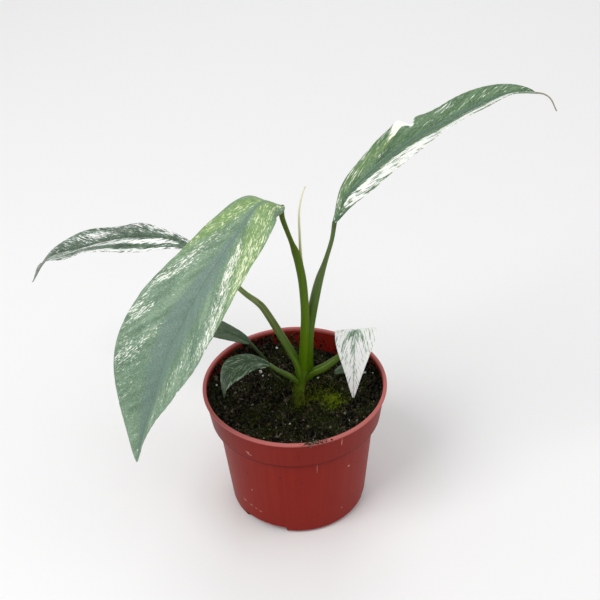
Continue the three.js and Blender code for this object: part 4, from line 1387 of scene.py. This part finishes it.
def moss_material():
    shader = Shader("moss", roughness=0.75, specular=0.2)
    tone = shader.value("tone")
    variety = shader.noise(shader.place(), 500, detail=2)
    color = shader.mix(shader.step(tone, 0.05, 0.9), (46, 54, 26), (142, 172, 26))
    color = shader.tint(color, shader.step(variety, 0.42, 0.62), 0.8, (20, 26, 9))
    shader.color(color)
    shader.soften(0.1, 0.6)
    return shader.material


# Perlite grains and bits of bark: x, y, radius. More of each, and smaller, lie at random places.
PERLITE = [
    (15.7, 24, 0.9), (47.4, 23.2, 1.2), (53.1, 18.7, 1.3), (-11.8, 51.6, 1.0), (-21.5, 28.3, 0.8),
    (-23, 30.5, 1.2), (-52, 12.5, 0.8), (-12.6, -17.7, 0.6), (-4, -22.5, 0.6),
]
BARK = [
    (-5.4, 1.7, 2.3), (-2.4, 2.8, 1.8), (-53, 17, 2.2), (-8, -13, 1.8), (-36, 4, 1.6), (30, -28, 1.6),
    (-12, -34, 1.5), (44, 8, 1.5), (6, -42, 1.8), (-28, -26, 1.4), (36, 30, 1.6), (-20, 42, 2),
]
SMALL_PERLITE = 90
SMALL_BARK = 36


def make_grains():
    ball = ico_lump(2)
    perlite = Pile(43)
    for x, y, size in PERLITE:
        perlite.lump((x, y, soil_surface(x, y) + 0.6 * size), size, ball, 1, flat=0.8, jag=0.35)
    for _ in range(SMALL_PERLITE):
        x, y, z = perlite.spot(GRAIN_REACH)
        size = perlite.rng.uniform(0.18, 0.42)
        perlite.lump((x, y, z + 0.5 * size), size, ball, perlite.rng.random(), jag=0.35)
    white = grain_material("perlite", (150, 146, 138), (226, 224, 220))
    perlite.piece("perlite", white, "potting_soil", smooth=True)
    bark = Pile(47)
    for x, y, size in BARK:
        bark.lump((x, y, soil_surface(x, y) + 0.5), size, ball, bark.rng.random(), flat=0.35, jag=0.6)
    for _ in range(SMALL_BARK):
        x, y, z = bark.spot(GRAIN_REACH)
        bark.lump((x, y, z + 0.2), bark.rng.uniform(0.5, 1.2), ball, bark.rng.random(), flat=0.35, jag=0.6)
    bark.piece("bark", grain_material("bark", (34, 29, 24), (98, 86, 74)), "potting_soil")


def grain_material(name, low, high):
    shader = Shader(name, roughness=0.85, specular=0.3)
    rough = shader.noise(shader.place(), 1600, detail=3)
    tone = shader.math("ADD", shader.value("tone"), shader.times(rough, 0.6))
    shader.color(shader.mix(shader.step(tone, 0.2, 1.1), low, high))
    shader.bump(rough, 0.25, 0.8)
    return shader.material


# Floor

FLOOR_REACH = 6000
FLOOR_COLOR = (246, 246, 246)


def make_floor():
    signs = ((-1, -1), (1, -1), (1, 1), (-1, 1))
    corners = [(x * FLOOR_REACH, y * FLOOR_REACH, 0) for x, y in signs]
    floor = plain_object("floor", corners, [[0, 1, 2, 3]])
    shader = Shader("floor", roughness=0.9, specular=0.1)
    shader.surface.inputs["Base Color"].default_value = linear(FLOOR_COLOR)
    floor.data.materials.append(shader.material)


make_camera()
make_sky()
for light_name, light in LIGHTS.items():
    make_light(light_name, **light)
make_floor()
make_pot()
make_soil()
make_crumbs()
make_fibres()
make_moss()
make_grains()
make_stem()
make_stalks()
make_new_leaf()
make_leaves()
